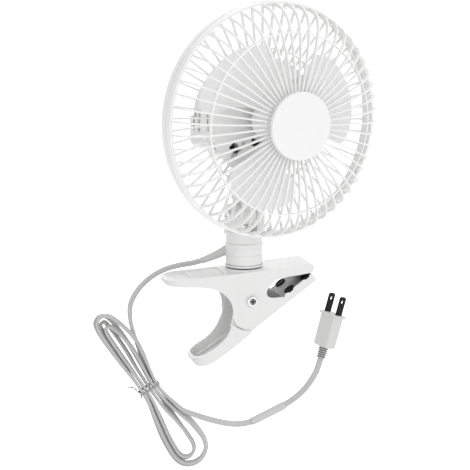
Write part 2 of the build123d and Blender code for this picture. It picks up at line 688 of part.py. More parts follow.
def make_blades():
    """Three wide blades on a hub, one moulding."""
    sections = []
    for k in range(-3, 4):
        turn = 15.0 * k
        z = BLADE_MID_Z + BLADE_LEAD * math.radians(turn)
        plane = Plane(origin=(0, 0, z), x_dir=(math.cos(math.radians(turn)), math.sin(math.radians(turn)), 0),
                      z_dir=(-math.sin(math.radians(turn)), math.cos(math.radians(turn)), 0))
        sections.append(plane * Pos(46.0, 0) * Rectangle(68.0, BLADE_THICK))
    sheet = loft(sections)
    root = [(15, -22), (22, -27), (30, -30), (40, -33.5), (50, -36)]
    tip = [(13.0, -36), (9.0, -32.5), (5.0, -23), (1.5, -9), (0, 6), (0, 17), (1.0, 27), (4.0, 33), (8.0, 36.5)]
    back = [(50, 36), (44, 31.5), (38, 27), (30, 21), (22, 17), (15, 16)]
    edge = root + [(BLADE_R - inset, a) for inset, a in tip] + back
    ring = [(r * math.cos(math.radians(a)), r * math.sin(math.radians(a)), None) for r, a in edge]
    blade = sheet & slab_z(ring, 20, 90)
    hub = spun([(0, 40.0, 0), (FAN_HUB_R, 40.0, 1.0), (FAN_HUB_R, 60.0, 3.0), (0, 63.0, 0)])
    hub -= up_cyl(FAN_HUB_R - 2.2, 39, 57.5) - up_cyl(6.0, 39, 58)
    for k in range(3):
        hub += Rot(0, 0, BLADE_TURN + 120 * k) * blade
    return hub - up_cyl(SHAFT_R, 30, 70)


local = {}
local["front_grille"] = make_front_grille()
local["hub_badge"] = make_badge()
local["rear_grille"] = make_rear_grille()
local["motor_housing"] = make_housing()
local["stator_core"] = make_stator()
local["stator_coils"] = make_coils()
local["front_end_frame"] = end_frame(22.6, 24.8, 6.0)
local["rear_end_frame"] = end_frame(-7.0, -4.8, 6.0)
local["front_bearing"] = up_cyl(6.0, 21.6, 26.4) - up_cyl(SHAFT_R + 0.05, 20, 28)
local["rear_bearing"] = up_cyl(6.0, -9.0, -4.0) - up_cyl(SHAFT_R + 0.05, -10, -3)
screws = []
for k in range(4):
    long_screw = up_cyl(1.68, -8.6, PLATE_Z + PLATE_WALL + 0.4, x=27.0) + up_cyl(3.4, -9.0, -7.0, x=27.0)
    screws.append(Rot(0, 0, 45 + 90 * k) * long_screw)
local["motor_screws"] = Compound(children=screws)
spacers = []
for k in range(4):
    for z0, z1 in ((18.0, 22.6), (-4.8, 0.0), (24.8, PLATE_Z)):
        bush = up_cyl(3.2, z0, z1, x=27.0) - up_cyl(1.7, z0 - 1, z1 + 1, x=27.0)
        spacers.append(Rot(0, 0, 45 + 90 * k) * bush)
local["motor_spacers"] = Compound(children=spacers)
switch = Pos(0, 0, HOUSING_BACK + 4.5) * Box(15.0, 13.0, 3.0)
local["speed_switch"] = switch + up_cyl(2.4, HOUSING_BACK + 2.6, HOUSING_BACK + 3.6)
local["grille_screw"] = grille_screw_rod(7.0, -0.6, 1.1) + grille_screw_rod(0.0, -1.4, 2.3)
screws = []
for k in range(4):
    eye = HOUSING_R - BOSS_INSET
    short_screw = up_cyl(1.3, 16, 32, x=eye) + up_cyl(2.6, PLATE_Z + PLATE_WALL, PLATE_Z + PLATE_WALL + 1.6, x=eye)
    screws.append(Rot(0, 0, 45 + 90 * k) * short_screw)
local["housing_screws"] = Compound(children=screws)
local["rotor_core"] = up_cyl(ROTOR_R, 0, 18) - up_cyl(SHAFT_R, -1, 19)
local["motor_shaft"] = up_cyl(SHAFT_R, -8.6, 66.0)
local["fan_blades"] = make_blades()
local["blade_nut"] = fillet(up_cyl(6.0, 63.0, 69.5).edges().sort_by(Axis.Z)[-1], 1.6) - up_cyl(SHAFT_R, 60, 66.0)
knob_top = HOUSING_BACK - 1.0
knob = up_cyl(KNOB_R, knob_top - 8.0, knob_top)
knob = fillet(knob.edges().sort_by(Axis.Z)[0], 1.4)
knob -= [Rot(0, 0, 30 * k) * up_cyl(0.9, knob_top - 9, knob_top - 1.4, x=KNOB_R + 0.2) for k in range(12)]
knob += Pos(0, 0.6 * KNOB_R, knob_top - 8.2) * Box(1.6, 0.6 * KNOB_R, 0.8)
local["speed_knob"] = knob + up_cyl(2.4, knob_top, HOUSING_BACK + 2.4)

HEAD_PLACE = Rot(0, 0, HEAD_TURN) * Pos(0, 0, HEAD_Z) * Rot(90, 0, 0)
for name, solid in local.items():
    nodes[name] = HEAD_PLACE * solid
for name in ("neck_stem", "tilt_bolt", "tilt_nut", "swivel_screw", "swivel_washer"):
    nodes[name] = Rot(0, 0, HEAD_TURN) * nodes[name]

# ================================================================ cord
gland_face = gland_at + gland_axis * GLAND_OUT


def hank_point(u, v, layer):
    """Point of the hank: u down its length, v across it, layer 1 behind and -1 in front."""
    lean = math.radians(HANK_LEAN)
    x = HANK_AT[0] + u * math.sin(lean) + v * math.cos(lean)
    z = HANK_AT[2] - u * math.cos(lean) + v * math.sin(lean)
    return (x, HANK_AT[1] + layer * LAYER / 2, z)


def half_turn(u, left, right, end, layer, going):
    """Corner points of a round end between two strands; going 1 is left to right."""
    r = (right - left) / 2
    mid = (right + left) / 2
    reach = 0.995 * r
    corners = []
    for angle in (150, 90, 30):
        a = math.radians(angle)
        k = reach / math.cos(math.radians(30))
        corners.append((u + end * k * math.sin(a), mid + k * math.cos(a), layer))
    return corners if going > 0 else corners[::-1]


def make_hank_route():
    """Control points of the whole hank, four loops in two layers, tied at the waist."""
    c = COLUMN
    route = [(-46.0, 14.2, 1), (-34.0, 10.8, 1), (-20.0, 8.0, 1), (-6.0, 2 * c, 1), (8.0, 2 * c, 1)]
    route += [(26.0, 9.8, 1), (46.0, 15.2, 1)]
    route += half_turn(63.0, -14.9, 16.1, 1, 1, -1)
    route += [(46.0, -14.4, 1), (26.0, -10.2, 1), (8.0, -2 * c, 1), (-8.0, -2 * c, 1)]
    route += [(-30.0, -8.2, 1), (-50.0, -9.6, 1)]
    route += half_turn(-66.0, -9.6, 3.9, -1, 1, 1)
    route += [(-50.0, 6.2, 1), (-28.0, 5.4, 1), (-6.0, c, 1), (8.0, c, 1), (30.0, 4.6, 1), (48.0, 5.2, 1)]
    route += half_turn(62.0, -11.0, 5.4, 1, 1, -1)
    route += [(46.0, -10.5, 1), (26.0, -6.5, 1), (8.0, -c, 1), (-8.0, -c, 1), (-30.0, -4.6, 1), (-50.0, -5.9, 1)]
    route += half_turn(-64.0, -6.0, 0.2, -1, 1, 1)
    route += [(-52.0, 0.9, 1), (-34.0, 1.2, 1), (-20.0, 0.1, 1), (8.0, 0.0, -1), (20.0, 0.8, -1)]
    route += [(32.0, 3.2, -1), (48.0, 5.4, -1)]
    route += half_turn(60.0, -9.8, 5.4, 1, -1, -1)
    route += [(46.0, -9.0, -1), (28.0, -6.0, -1), (8.0, -c, -1), (-8.0, -c, -1), (-30.0, -4.2, -1)]
    route += [(-48.0, -4.6, -1)]
    route += half_turn(-60.0, -4.7, 1.8, -1, -1, 1)
    route += [(-46.0, 5.6, -1), (-28.0, 6.2, -1), (-6.0, c, -1), (8.0, c, -1), (28.0, 7.8, -1), (46.0, 13.2, -1)]
    route += half_turn(60.6, -13.5, 14.9, 1, -1, -1)
    route += [(46.0, -13.0, -1), (28.0, -9.9, -1), (8.0, -2 * c, -1), (-8.0, -2 * c, -1), (-30.0, -7.9, -1)]
    route += [(-50.0, -8.6, -1)]
    route += half_turn(-66.0, -8.6, 5.6, -1, -1, 1)
    route += [(-56.0, 9.8, -1), (-42.0, 12.4, -1), (-26.0, 10.8, -1), (-6.0, 2 * c, -1), (8.0, 2 * c + 0.1, -1)]
    route += [(24.0, 10.6, -1)]
    return [hank_point(*p) for p in route]


def in_line_free(points):
    """Drop points that stand in line with their neighbours."""
    kept = [points[0]]
    for here, after in zip(points[1:], points[2:]):
        one, two = Vector(*here) - Vector(*kept[-1]), Vector(*after) - Vector(*here)
        if one.get_angle(two) > 0.25:
            kept.append(here)
    return kept + [points[-1]]


def hank_radii(points):
    """Tangent arcs for the hank, each half turn kept round."""
    spare = [1.0] * len(points)
    radii = []
    for i in range(1, len(points) - 1):
        one = Vector(*points[i]) - Vector(*points[i - 1])
        two = Vector(*points[i + 1]) - Vector(*points[i])
        half = math.radians(one.get_angle(two)) / 2
        share = 0.495
        radii.append(share * min(one.length, two.length) / math.tan(half))
    return radii


def least_gap(path, wide, thick):
    """Smallest gap of the wound cord to itself, measured on points along it."""
    count = int(path.length / 1.5)
    spots = [path @ (k / count) for k in range(count + 1)]
    best = 1e9
    for i, p in enumerate(spots):
        for j in range(i + 10, count + 1):
            q = spots[j]
            flat = math.hypot(p.X - q.X, p.Z - q.Z) - thick
            if flat > best and abs(p.Y - q.Y) - wide > best:
                continue
            deep = abs(p.Y - q.Y) - wide
            best = min(best, max(flat, deep))
    return best


HANK = in_line_free(make_hank_route())
hank_path = FilletPolyline(*HANK, radius=hank_radii(HANK))
stadium = SlotOverall(CORD_WIDTH, CORD_THICK)


def strand_plane(path, at):
    """Section plane of the flat cord, its width along Y."""
    tangent = path % at
    return Plane(origin=path @ at, x_dir=(0, 1, 0), z_dir=tangent)


nodes["cord_hank"] = sweep(strand_plane(hank_path, 0) * stadium, path=hank_path)
hank_gap = least_gap(hank_path, CORD_WIDTH, CORD_THICK)
print("hank length", round(hank_path.length, 1), "least gap", round(hank_gap, 2))
print("hank volume", round(nodes["cord_hank"].volume, 1), "by section", round(stadium.area * hank_path.length, 1))

hank_start, hank_end = hank_path @ 0, hank_path @ 1
lead_in, lead_out = hank_path % 0, hank_path % 1
IN_ROUTE = [
    tuple(gland_face),
    tuple(gland_face + gland_axis * 8.0),
    (-34.8, 17.0, 3.2),
    (-47.4, 21.6, 1.0),
    (-60.8, 23.2, -2.2),
    (-73.4, 22.4, -8.6),
    (-84.0, 20.2, -17.8),
    (-91.0, 17.4, -29.0),
    tuple(hank_start - lead_in * 8.5),
    tuple(hank_start),
]
OUT_ROUTE = [
    tuple(hank_end),
    tuple(hank_end + lead_out * 8.0),
    (-42.5, 8.6, -120.4),
    (-30.0, 8.0, -125.6),
    (-17.2, 7.6, -129.8),
    (-4.4, 7.4, -132.6),
    (7.6, 7.4, -131.8),
    (39.0, 7.6, -118.4),
    (52.4, 7.8, -109.6),
    (61.0, 8.0, -99.0),
    tuple(Vector(*PLUG_AT) - Vector(*PLUG_DIR) * 10.0),
    PLUG_AT,
]
for label, name, points in (("in", "power_cord_in", IN_ROUTE), ("out", "power_cord_out", OUT_ROUTE)):
    radii = run_radii(points, label)
    path = FilletPolyline(*points, radius=radii)
    nodes[name] = tube(points, radii, Circle(CORD_TUBE / 2))
    area = math.pi * CORD_TUBE**2 / 4
    print(name, "length", round(path.length, 1), "volume ratio", round(nodes[name].volume / area / path.length, 4))

# blank sleeve on the straight run before the plug
run_a, run_b = Vector(*OUT_ROUTE[6]), Vector(*OUT_ROUTE[7])
run_dir = (run_b - run_a).normalized()
mid_run = run_a + run_dir * ((run_b - run_a).length / 2 - 0.5)
sleeve_a, sleeve_b = mid_run - run_dir * SLEEVE_LONG / 2, mid_run + run_dir * SLEEVE_LONG / 2
sleeve = rod(tuple(sleeve_a), tuple(sleeve_b), 3.1)
nodes["cord_sleeve"] = sleeve - rod(tuple(sleeve_a - run_dir), tuple(sleeve_b + run_dir), 2.65)

# twist tie round the waist, with its two ends
waist = Plane(origin=hank_point(0, 0, 0), x_dir=Vector(*hank_point(0, 1, 0)) - Vector(*hank_point(0, 0, 0)),
              z_dir=Vector(*hank_point(1, 0, 0)) - Vector(*hank_point(0, 0, 0)))
band_out = (4 * COLUMN + CORD_THICK + 1.6, LAYER + CORD_WIDTH + 1.6)
band = waist * extrude(RectangleRounded(*band_out, 1.6), amount=1.1, both=True)
band_hole = RectangleRounded(band_out[0] - 1.2, band_out[1] - 1.2, 1.0)
band -= waist * extrude(band_hole, amount=3, both=True)
edge_v = -band_out[0] / 2 + 0.2
for tail in (
    [(0.0, edge_v, -0.4), (-4.0, edge_v - 2.2, -0.8), (-9.0, edge_v - 2.8, -1.2), (-13.0, edge_v - 5.4, -1.0)],
    [(0.0, edge_v, -0.4), (3.0, edge_v - 1.8, -0.9), (6.6, edge_v - 2.0, -1.4)],
):
    spots = [hank_point(*p) for p in tail]
    band += tube(spots, run_radii(spots, "tie end"), Circle(0.75))
nodes["twist_tie"] = band

# ---------------------------------------------------------------- plug, drawn with +Z toward the blades
plug_x = Vector(math.cos(math.radians(PLUG_TURN)), math.sin(math.radians(PLUG_TURN)), 0)
plug_plane = Plane(origin=PLUG_AT, x_dir=plug_x, z_dir=PLUG_DIR)
relief = Part() + Solid.make_cone(3.7, 4.4, RELIEF_LONG)
for k in range(5):
    relief -= up_cyl(7.0, 0.9 + 1.75 * k, 1.95 + 1.75 * k) - up_cyl(2.7, 0, RELIEF_LONG)
nodes["plug_relief"] = plug_plane * relief
rear = RectangleRounded(PLUG_WIDE - 0.6, PLUG_THICK - 0.4, 2.4)
front = Pos(0, 0, PLUG_LONG) * RectangleRounded(PLUG_WIDE, PLUG_THICK, 2.4)
body = Pos(0, 0, RELIEF_LONG) * loft([rear, front])
body = fillet(body.edges().group_by(Axis.Z)[0], 1.6)
brim = extrude(RectangleRounded(PLUG_WIDE + 4, PLUG_THICK + 3, 4.0), amount=0.8, both=True)
body += Pos(0, 0, RELIEF_LONG + PLUG_LONG + 0.8) * brim
pins = []
face_z = RELIEF_LONG + PLUG_LONG + 1.6
for side in (-1, 1):
    flat = extrude(RectangleRounded(6.35, 30.0, 2.0), amount=0.76, both=True)
    pin = Pos(side * BLADE_GAP / 2, 0, face_z + 0.8) * Rot(0, 90, 0) * Rot(0, 0, 90) * flat
    pin -= Pos(side * BLADE_GAP / 2, 0, face_z + 11.4) * Rot(0, 90, 0) * Cylinder(1.6, 5)
    pins.append(pin)
for pin in pins:
    body -= pin
nodes["plug_body"] = plug_plane * body
nodes["plug_blades"] = Compound(children=[plug_plane * pin for pin in pins])

# ================================================================ export
os.makedirs("parts", exist_ok=True)
HOME = Pos(-GRIP_X, 0, -GRIP_Z)
for name, solid in sorted(nodes.items()):
    placed = HOME * solid
    export_step(placed, f"parts/{name}.step")
    print(name, "solids", len(placed.solids()), "volume", round(placed.volume, 1), "valid", placed.is_valid)
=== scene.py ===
"""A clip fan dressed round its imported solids: cord, tie, spring, finishes and a pale studio.

Everything is in metres, in the frame of the solids: +Z up along the neck, +X out of the jaws.
Sizes in the classes are in millimetres, unless they say otherwise.
"""

from __future__ import annotations

import json
import logging
import math
from dataclasses import dataclass, field
from enum import Enum
from typing import Callable, Mapping, Sequence

import bmesh
import bpy
from mathutils import Matrix, Vector

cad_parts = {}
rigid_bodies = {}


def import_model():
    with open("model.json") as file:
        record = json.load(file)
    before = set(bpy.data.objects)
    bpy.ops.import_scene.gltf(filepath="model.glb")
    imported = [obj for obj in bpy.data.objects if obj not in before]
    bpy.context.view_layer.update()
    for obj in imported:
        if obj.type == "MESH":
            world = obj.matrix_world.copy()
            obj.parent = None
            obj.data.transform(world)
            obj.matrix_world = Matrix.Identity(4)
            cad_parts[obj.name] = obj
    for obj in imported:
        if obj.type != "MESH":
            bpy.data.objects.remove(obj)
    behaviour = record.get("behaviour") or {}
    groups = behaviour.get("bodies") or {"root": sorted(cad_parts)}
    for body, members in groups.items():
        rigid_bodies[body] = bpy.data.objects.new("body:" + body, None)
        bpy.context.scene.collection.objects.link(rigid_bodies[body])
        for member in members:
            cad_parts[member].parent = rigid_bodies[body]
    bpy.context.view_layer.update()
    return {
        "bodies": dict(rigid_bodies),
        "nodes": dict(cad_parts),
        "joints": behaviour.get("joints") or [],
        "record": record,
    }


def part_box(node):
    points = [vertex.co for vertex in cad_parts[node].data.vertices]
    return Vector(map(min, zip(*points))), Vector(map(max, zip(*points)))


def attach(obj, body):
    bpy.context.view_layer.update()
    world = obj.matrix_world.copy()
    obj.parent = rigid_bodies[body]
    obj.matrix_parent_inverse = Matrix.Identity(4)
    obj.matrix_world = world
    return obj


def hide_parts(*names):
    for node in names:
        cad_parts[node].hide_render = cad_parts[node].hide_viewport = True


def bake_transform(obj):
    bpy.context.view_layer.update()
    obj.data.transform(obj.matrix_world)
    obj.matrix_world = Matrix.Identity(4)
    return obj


LOG = logging.getLogger("clip_fan")

MM = 0.001
GRIP_SHIFT = Vector((-43.0, 0.0, 7.6))
HEAD_TURN = math.radians(14.5)
FRONT_TO_BACK = Vector((0.0, 1.0, 0.0))

Colour = tuple[float, float, float]
Point = tuple[float, float, float]
Inputs = Mapping[str | int, object]
Mesh = bmesh.types.BMesh
Piece = bpy.types.Object
Material = bpy.types.Material
Group = bpy.types.NodeTree
Node = bpy.types.Node
Socket = bpy.types.NodeSocket


def metres(point: Sequence[float]) -> Vector:
    """Point drawn about the neck axis in millimetres, in the row frame in metres."""
    return (Vector(point) + GRIP_SHIFT) * MM


def opaque(colour: Colour) -> tuple[float, float, float, float]:
    """Colour with the fourth number that a shader socket takes."""
    return (*colour, 1.0)


# ---------------------------------------------------------------- finishes


class Relief(Enum):
    """Kinds of fine relief that a finish can have."""

    MOULDED = "moulded"
    BRUSHED = "brushed"
    LAMINATED = "laminated"
    WOUND = "wound"


@dataclass(frozen=True)
class Finish:
    """What one material looks like.

    Attributes:
        name: name of the material.
        colour: its main colour.
        roughness: roughness set on the shader.
        metallic: 1 for a metal.
        relief: kind of fine relief.
        grain: grains per metre.
        depth: depth of the relief.
        drift: how far the tone wanders, 0 to 1.
        sheen: level of the plain reflection, 0.5 for most plastics.
    """

    name: str
    colour: Colour
    roughness: float = 0.4
    metallic: float = 0.0
    relief: Relief = Relief.MOULDED
    grain: float = 2500.0
    depth: float = 0.03
    drift: float = 0.03
    sheen: float = 0.5


@dataclass(frozen=True)
class Room:
    """A room inside a moulding, whose faces get painted shade, greyer than the outside.

    Attributes:
        half: half of its width along Y.
        start: X where it starts.
        end: X where it ends.
        floor: Z of its floor at X = 0.
        rise: rise of its floor along X, as a share.
        slope: rise of its roof along X, as a share.
        roof: Z of its roof at X = 0.
        tone: colour of the painted shade on its faces.
    """

    half: float
    start: float
    end: float
    floor: float
    rise: float
    slope: float
    roof: float
    tone: Colour = (0.13, 0.13, 0.132)

    def sockets(self) -> dict[str, float]:
        """Values of the mask's sockets, with the lengths in metres.

        Returns:
            A value for each socket.
        """
        labels = ("Half", "From", "To", "Floor", "Roof")
        sizes = (self.half, self.start, self.end, self.floor, self.roof)
        lengths = {label: size * MM for label, size in zip(labels, sizes)}
        return lengths | {"Rise": self.rise, "Slope": self.slope}


@dataclass(frozen=True)
class ReliefGrooves:
    """Grooves cut round the relief of the plug.

    Attributes:
        start: distance of the first groove from where the cord enters.
        pitch: distance from groove to groove.
        share: share of the pitch that a groove takes.
        tone: colour of the shade in them.
    """

    start: float = 0.9
    pitch: float = 1.75
    share: float = 0.6
    tone: Colour = (0.10, 0.10, 0.10)


@dataclass(frozen=True)
class ScrewCross:
    """Sunk cross in the pivot screw's head, with painted shade in it.

    Attributes:
        face: how far below the head's face the cross counts as sunk.
        reach: radius that holds the cross.
        face_shade: share of the painted shade on the face around the cross.
        tone: colour of the painted shade in it.
    """

    face: float = 0.25
    reach: float = 2.7
    face_shade: float = 0.62
    tone: Colour = (0.012, 0.012, 0.012)


@dataclass(frozen=True)
class Wiring:
    """The nodes of one material, world or group, with short ways to place them.

    Attributes:
        tree: the nodes.
    """

    tree: Group

    def feed(self, node: Node, inputs: Inputs) -> Node:
        """Fill inputs of a node.

        Args:
            node: the node.
            inputs: a value for each input, or the output that feeds it.

        Returns:
            The same node.
        """
        for label, value in inputs.items():
            if isinstance(value, Socket):
                self.tree.links.new(value, node.inputs[label])
            else:
                node.inputs[label].default_value = value
        return node

    def place(self, kind: str, inputs: Inputs | None = None, operation: str = "") -> Node:
        """Place a shader node.

        Args:
            kind: its type, without ShaderNode in front.
            inputs: what its inputs take.
            operation: what a Math or Vector Math node does.

        Returns:
            The node.
        """
        node = self.tree.nodes.new("ShaderNode" + kind)
        if operation:
            node.operation = operation
        return self.feed(node, inputs or {})

    def share(self, group: Group, inputs: Inputs) -> Node:
        """Place a shared group with this material's own values.

        Args:
            group: the group.
            inputs: what its inputs take.

        Returns:
            The group's node.
        """
        node = self.tree.nodes.new("ShaderNodeGroup")
        node.node_tree = group
        return self.feed(node, inputs)

    def work(self, operation: str, *values: Socket | float) -> Socket:
        """Result of a Math node that takes these values or outputs."""
        return self.place("Math", dict(enumerate(values)), operation).outputs[0]

    def tint(self, mask: Socket, under: Socket, over: Socket | tuple[float, ...]) -> Socket:
        """Lay one colour over another where a mask says.

        Args:
            mask: how much of the second colour shows, 0 to 1.
            under: the first colour.
            over: the second colour.

        Returns:
            The mixed colour.
        """
        mix = self.tree.nodes.new("ShaderNodeMix")
        mix.data_type = "RGBA"
        return self.feed(mix, {"Factor": mask, "A": under, "B": over}).outputs["Result"]

    def spot(self) -> Socket:
        """Object coordinates of the place that is shaded."""
        return self.place("TexCoord").outputs["Object"]

    def join(self, source: Socket, target: Socket) -> Group:
        """Link an output to an input, and give back the tree."""
        self.tree.links.new(source, target)
        return self.tree


class Finishes:
    """Builds the shader groups once and a material for each finish.

    Attributes:
        GAIN: share of the shade where both noises are full, for a drift of 1.
        SHADE: brightness of the shade against the finish's colour.
        BUMP: strength of the relief.
        BRUSHED_SQUEEZE: scale of the brushed grain, which runs along Z.
        KINDS: kind of the sockets that aren't numbers.
    """

    GAIN = 2.0
    SHADE = 0.45
    BUMP = 0.5
    BRUSHED_SQUEEZE = (1.0, 1.0, 0.06)
    KINDS = {"Colour": "NodeSocketColor", "Shade": "NodeSocketColor", "Axis": "NodeSocketVector"}

    def __init__(self) -> None:
        """Make the groups that every finish shares."""
        self.made: dict[str, Material] = {}
        self.drift_group = self._tone_drift()
        self.relief_groups = {kind: self._relief(kind) for kind in Relief}
        self.inside_group = self._inside()

    def _new_group(
        self, name: str, output: str, *inputs: str
    ) -> tuple[Wiring, bpy.types.NodeOutputs, Socket]:
        """Start a node group with named sockets.

        Args:
            name: the group's name.
            output: name of its output.
            inputs: names of its inputs.

        Returns:
            Its wiring, what comes in and the socket that takes the result.
        """
        tree = bpy.data.node_groups.new(name, "ShaderNodeTree")
        for way, labels in (("INPUT", inputs), ("OUTPUT", (output,))):
            for label in labels:
                kind = self.KINDS.get(label, "NodeSocketFloat")
                tree.interface.new_socket(label, in_out=way, socket_type=kind)
        given = tree.nodes.new("NodeGroupInput").outputs
        return Wiring(tree), given, tree.nodes.new("NodeGroupOutput").inputs[output]

    def _tone_drift(self) -> Group:
        """Group that lets a colour wander a little over a surface.

        Returns:
            The group.
        """
        wiring, given, result = self._new_group("tone_drift", "Colour", "Colour", "Shade", "Amount")
        spot = wiring.spot()
        broad = wiring.place("TexNoise", {"Vector": spot, "Scale": 38.0, "Detail": 4.0})
        fine = wiring.place("TexNoise", {"Vector": spot, "Scale": 420.0, "Detail": 3.0})
        both = wiring.work("MULTIPLY", broad.outputs["Fac"], fine.outputs["Fac"])
        amount = wiring.work("MULTIPLY", both, given["Amount"])
        return wiring.join(wiring.tint(amount, given["Colour"], given["Shade"]), result)

    def _relief(self, kind: Relief) -> Group:
        """Group that puts out the height of a fine relief.

        Args:
            kind: which relief it is.

        Returns:
            The group.
        """
        wiring, given, height = self._new_group(f"relief_{kind.value}", "Height", "Grain")
        squeeze = wiring.place("Mapping", {"Vector": wiring.spot()})
        if kind in (Relief.MOULDED, Relief.BRUSHED):
            if kind is Relief.BRUSHED:
                squeeze.inputs["Scale"].default_value = self.BRUSHED_SQUEEZE
            pattern = wiring.place("TexNoise", {"Detail": 5.0, "Roughness": 0.6})
        else:
            if kind is Relief.LAMINATED:
                squeeze.inputs["Rotation"].default_value = (math.pi / 2, 0.0, HEAD_TURN)
            pattern = wiring.place("TexWave", {"Distortion": 0.6})
            pattern.bands_direction = "Z" if kind is Relief.LAMINATED else "DIAGONAL"
        wiring.feed(pattern, {"Vector": squeeze.outputs["Vector"], "Scale": given["Grain"]})
        return wiring.join(pattern.outputs["Fac"], height)

    def _sunk(self, face_shade: float) -> Group:
        """Group that masks what lies below a screw's face and near its axis, seen along Y.

        Args:
            face_shade: share of the mask, which carries painted shade, on the face itself.

        Returns:
            The group.
        """
        wiring, given, mask = self._new_group("sunk_cross", "Mask", "Axis", "Face", "Reach")
        spot = wiring.spot()
        flat = wiring.place("VectorMath", {0: spot, 1: (1.0, 0.0, 1.0)}, "MULTIPLY").outputs[0]
        away = wiring.place("VectorMath", {0: flat, 1: given["Axis"]}, "DISTANCE")
        depth = wiring.place("SeparateXYZ", {0: spot}).outputs["Y"]
        below = wiring.work("GREATER_THAN", depth, given["Face"])
        near = wiring.work("LESS_THAN", away.outputs["Value"], given["Reach"])
        shaded = wiring.work("MULTIPLY", wiring.work("MAXIMUM", below, face_shade), near)
        return wiring.join(shaded, mask)

    def _inside(self) -> Group:
        """Group that masks a room between two walls, with a sloping roof and a sloping floor.

        Returns:
            The group.
        """
        labels = ("Half", "From", "To", "Floor", "Rise", "Slope", "Roof")
        wiring, given, mask = self._new_group("inside_walls", "Mask", *labels)
        work = wiring.work
        x, y, z = wiring.place("SeparateXYZ", {0: wiring.spot()}).outputs
        within = work("LESS_THAN", work("ABSOLUTE", y), given["Half"])
        behind = work("LESS_THAN", x, given["To"])
        along = work("MULTIPLY", work("GREATER_THAN", x, given["From"]), behind)
        fall = work("SUBTRACT", z, work("MULTIPLY", x, given["Slope"]))
        climb = work("SUBTRACT", z, work("MULTIPLY", x, given["Rise"]))
        under = work("LESS_THAN", fall, given["Roof"])
        tall = work("MULTIPLY", work("GREATER_THAN", climb, given["Floor"]), under)
        return wiring.join(work("MULTIPLY", within, work("MULTIPLY", along, tall)), mask)

    def _grooves(self) -> Group:
        """Group that masks the grooves cut round an axis at an even pitch.

        Returns:
            The group.
        """
        labels = ("Axis", "Start", "Pitch", "Share")
        wiring, given, mask = self._new_group("grooves_round_axis", "Mask", *labels)
        along = wiring.place("VectorMath", {0: wiring.spot(), 1: given["Axis"]}, "DOT_PRODUCT")
        past = wiring.work("SUBTRACT", along.outputs["Value"], given["Start"])
        turn = wiring.work("FRACT", wiring.work("DIVIDE", past, given["Pitch"]))
        return wiring.join(wiring.work("LESS_THAN", turn, given["Share"]), mask)

    def _shaded(
        self,
        finish: Finish,
        name: str,
        group: Group,
        places: Sequence[tuple[Mapping[str, object], Colour]],
    ) -> tuple[Material, Socket]:
        """Finish with another tone where a group's mask says.

        Args:
            finish: the finish that it starts from.
            name: the material's name.
            group: the group that puts out the mask.
            places: for each place, the values of the mask's sockets and the tone.

        Returns:
            The material and the last place's mask.
        """
        material = self.material(finish).copy()
        material.name = name
        wiring = Wiring(material.node_tree)
        colour = wiring.tree.nodes["Principled BSDF"].inputs["Base Color"]
        for values, tone in places:
            mask = wiring.share(group, values).outputs["Mask"]
            wiring.join(wiring.tint(mask, colour.links[0].from_socket, opaque(tone)), colour)
        return material, mask

    def painted_shade_inside(self, finish: Finish, name: str, rooms: Sequence[Room]) -> Material:
        """Finish of a shell with painted shade on its inner faces, in these rooms."""
        places = [(room.sockets(), room.tone) for room in rooms]
        return self._shaded(finish, name + "_painted_shade_inside", self.inside_group, places)[0]

    def grooved(self, finish: Finish, foot: Vector, axis: Vector) -> Material:
        """Finish of a ribbed relief with shade in its grooves.

        Args:
            finish: the relief's finish.
            foot: where the cord enters it.
            axis: direction of its axis.

        Returns:
            The material.
        """
        cut = ReliefGrooves()
        values = {
            "Axis": axis,
            "Start": foot.dot(axis) + cut.start * MM,
            "Pitch": cut.pitch * MM,
            "Share": cut.share,
        }
        name = finish.name + "_ribbed"
        return self._shaded(finish, name, self._grooves(), [(values, cut.tone)])[0]

    def sunk_screw(self, finish: Finish, low: Vector, high: Vector) -> Material:
        """Finish of a screw along Y with painted shade in its cross and on the face round it.

        Args:
            finish: the screw's finish.
            low: lowest corner of the screw's box, on the side of its head.
            high: highest corner of the box.

        Returns:
            The material.
        """
        cross = ScrewCross()
        middle = (low + high) / 2
        values = {
            "Axis": (middle.x, 0.0, middle.z),
            "Face": low.y + cross.face * MM,
            "Reach": cross.reach * MM,
        }
        material, mask = self._shaded(
            finish, finish.name + "_cross", self._sunk(cross.face_shade), [(values, cross.tone)]
        )
        wiring = Wiring(material.node_tree)
        shader = wiring.tree.nodes["Principled BSDF"]
        wiring.feed(shader, {"Metallic": wiring.work("SUBTRACT", 1.0, mask)})
        return material

    def material(self, finish: Finish) -> Material:
        """Material of a finish, made once.

        Args:
            finish: the finish to build.

        Returns:
            The material.
        """
        if finish.name in self.made:
            return self.made[finish.name]
        material = bpy.data.materials.new(finish.name)
        material.use_nodes = True
        wiring = Wiring(material.node_tree)
        shade = tuple(part * self.SHADE for part in finish.colour)
        tones = {"Colour": opaque(finish.colour), "Shade": opaque(shade)}
        drift = wiring.share(self.drift_group, tones | {"Amount": finish.drift * self.GAIN})
        relief = wiring.share(self.relief_groups[finish.relief], {"Grain": finish.grain})
        depth = {"Strength": self.BUMP, "Distance": finish.depth * MM}
        bump = wiring.place("Bump", depth | {"Height": relief.outputs["Height"]})
        looks = {
            "Base Color": drift.outputs["Colour"],
            "Roughness": finish.roughness,
            "Metallic": finish.metallic,
            "Specular IOR Level": finish.sheen,
            "Normal": bump.outputs["Normal"],
        }
        wiring.feed(wiring.tree.nodes["Principled BSDF"], looks)
        self.made[finish.name] = material
        return material


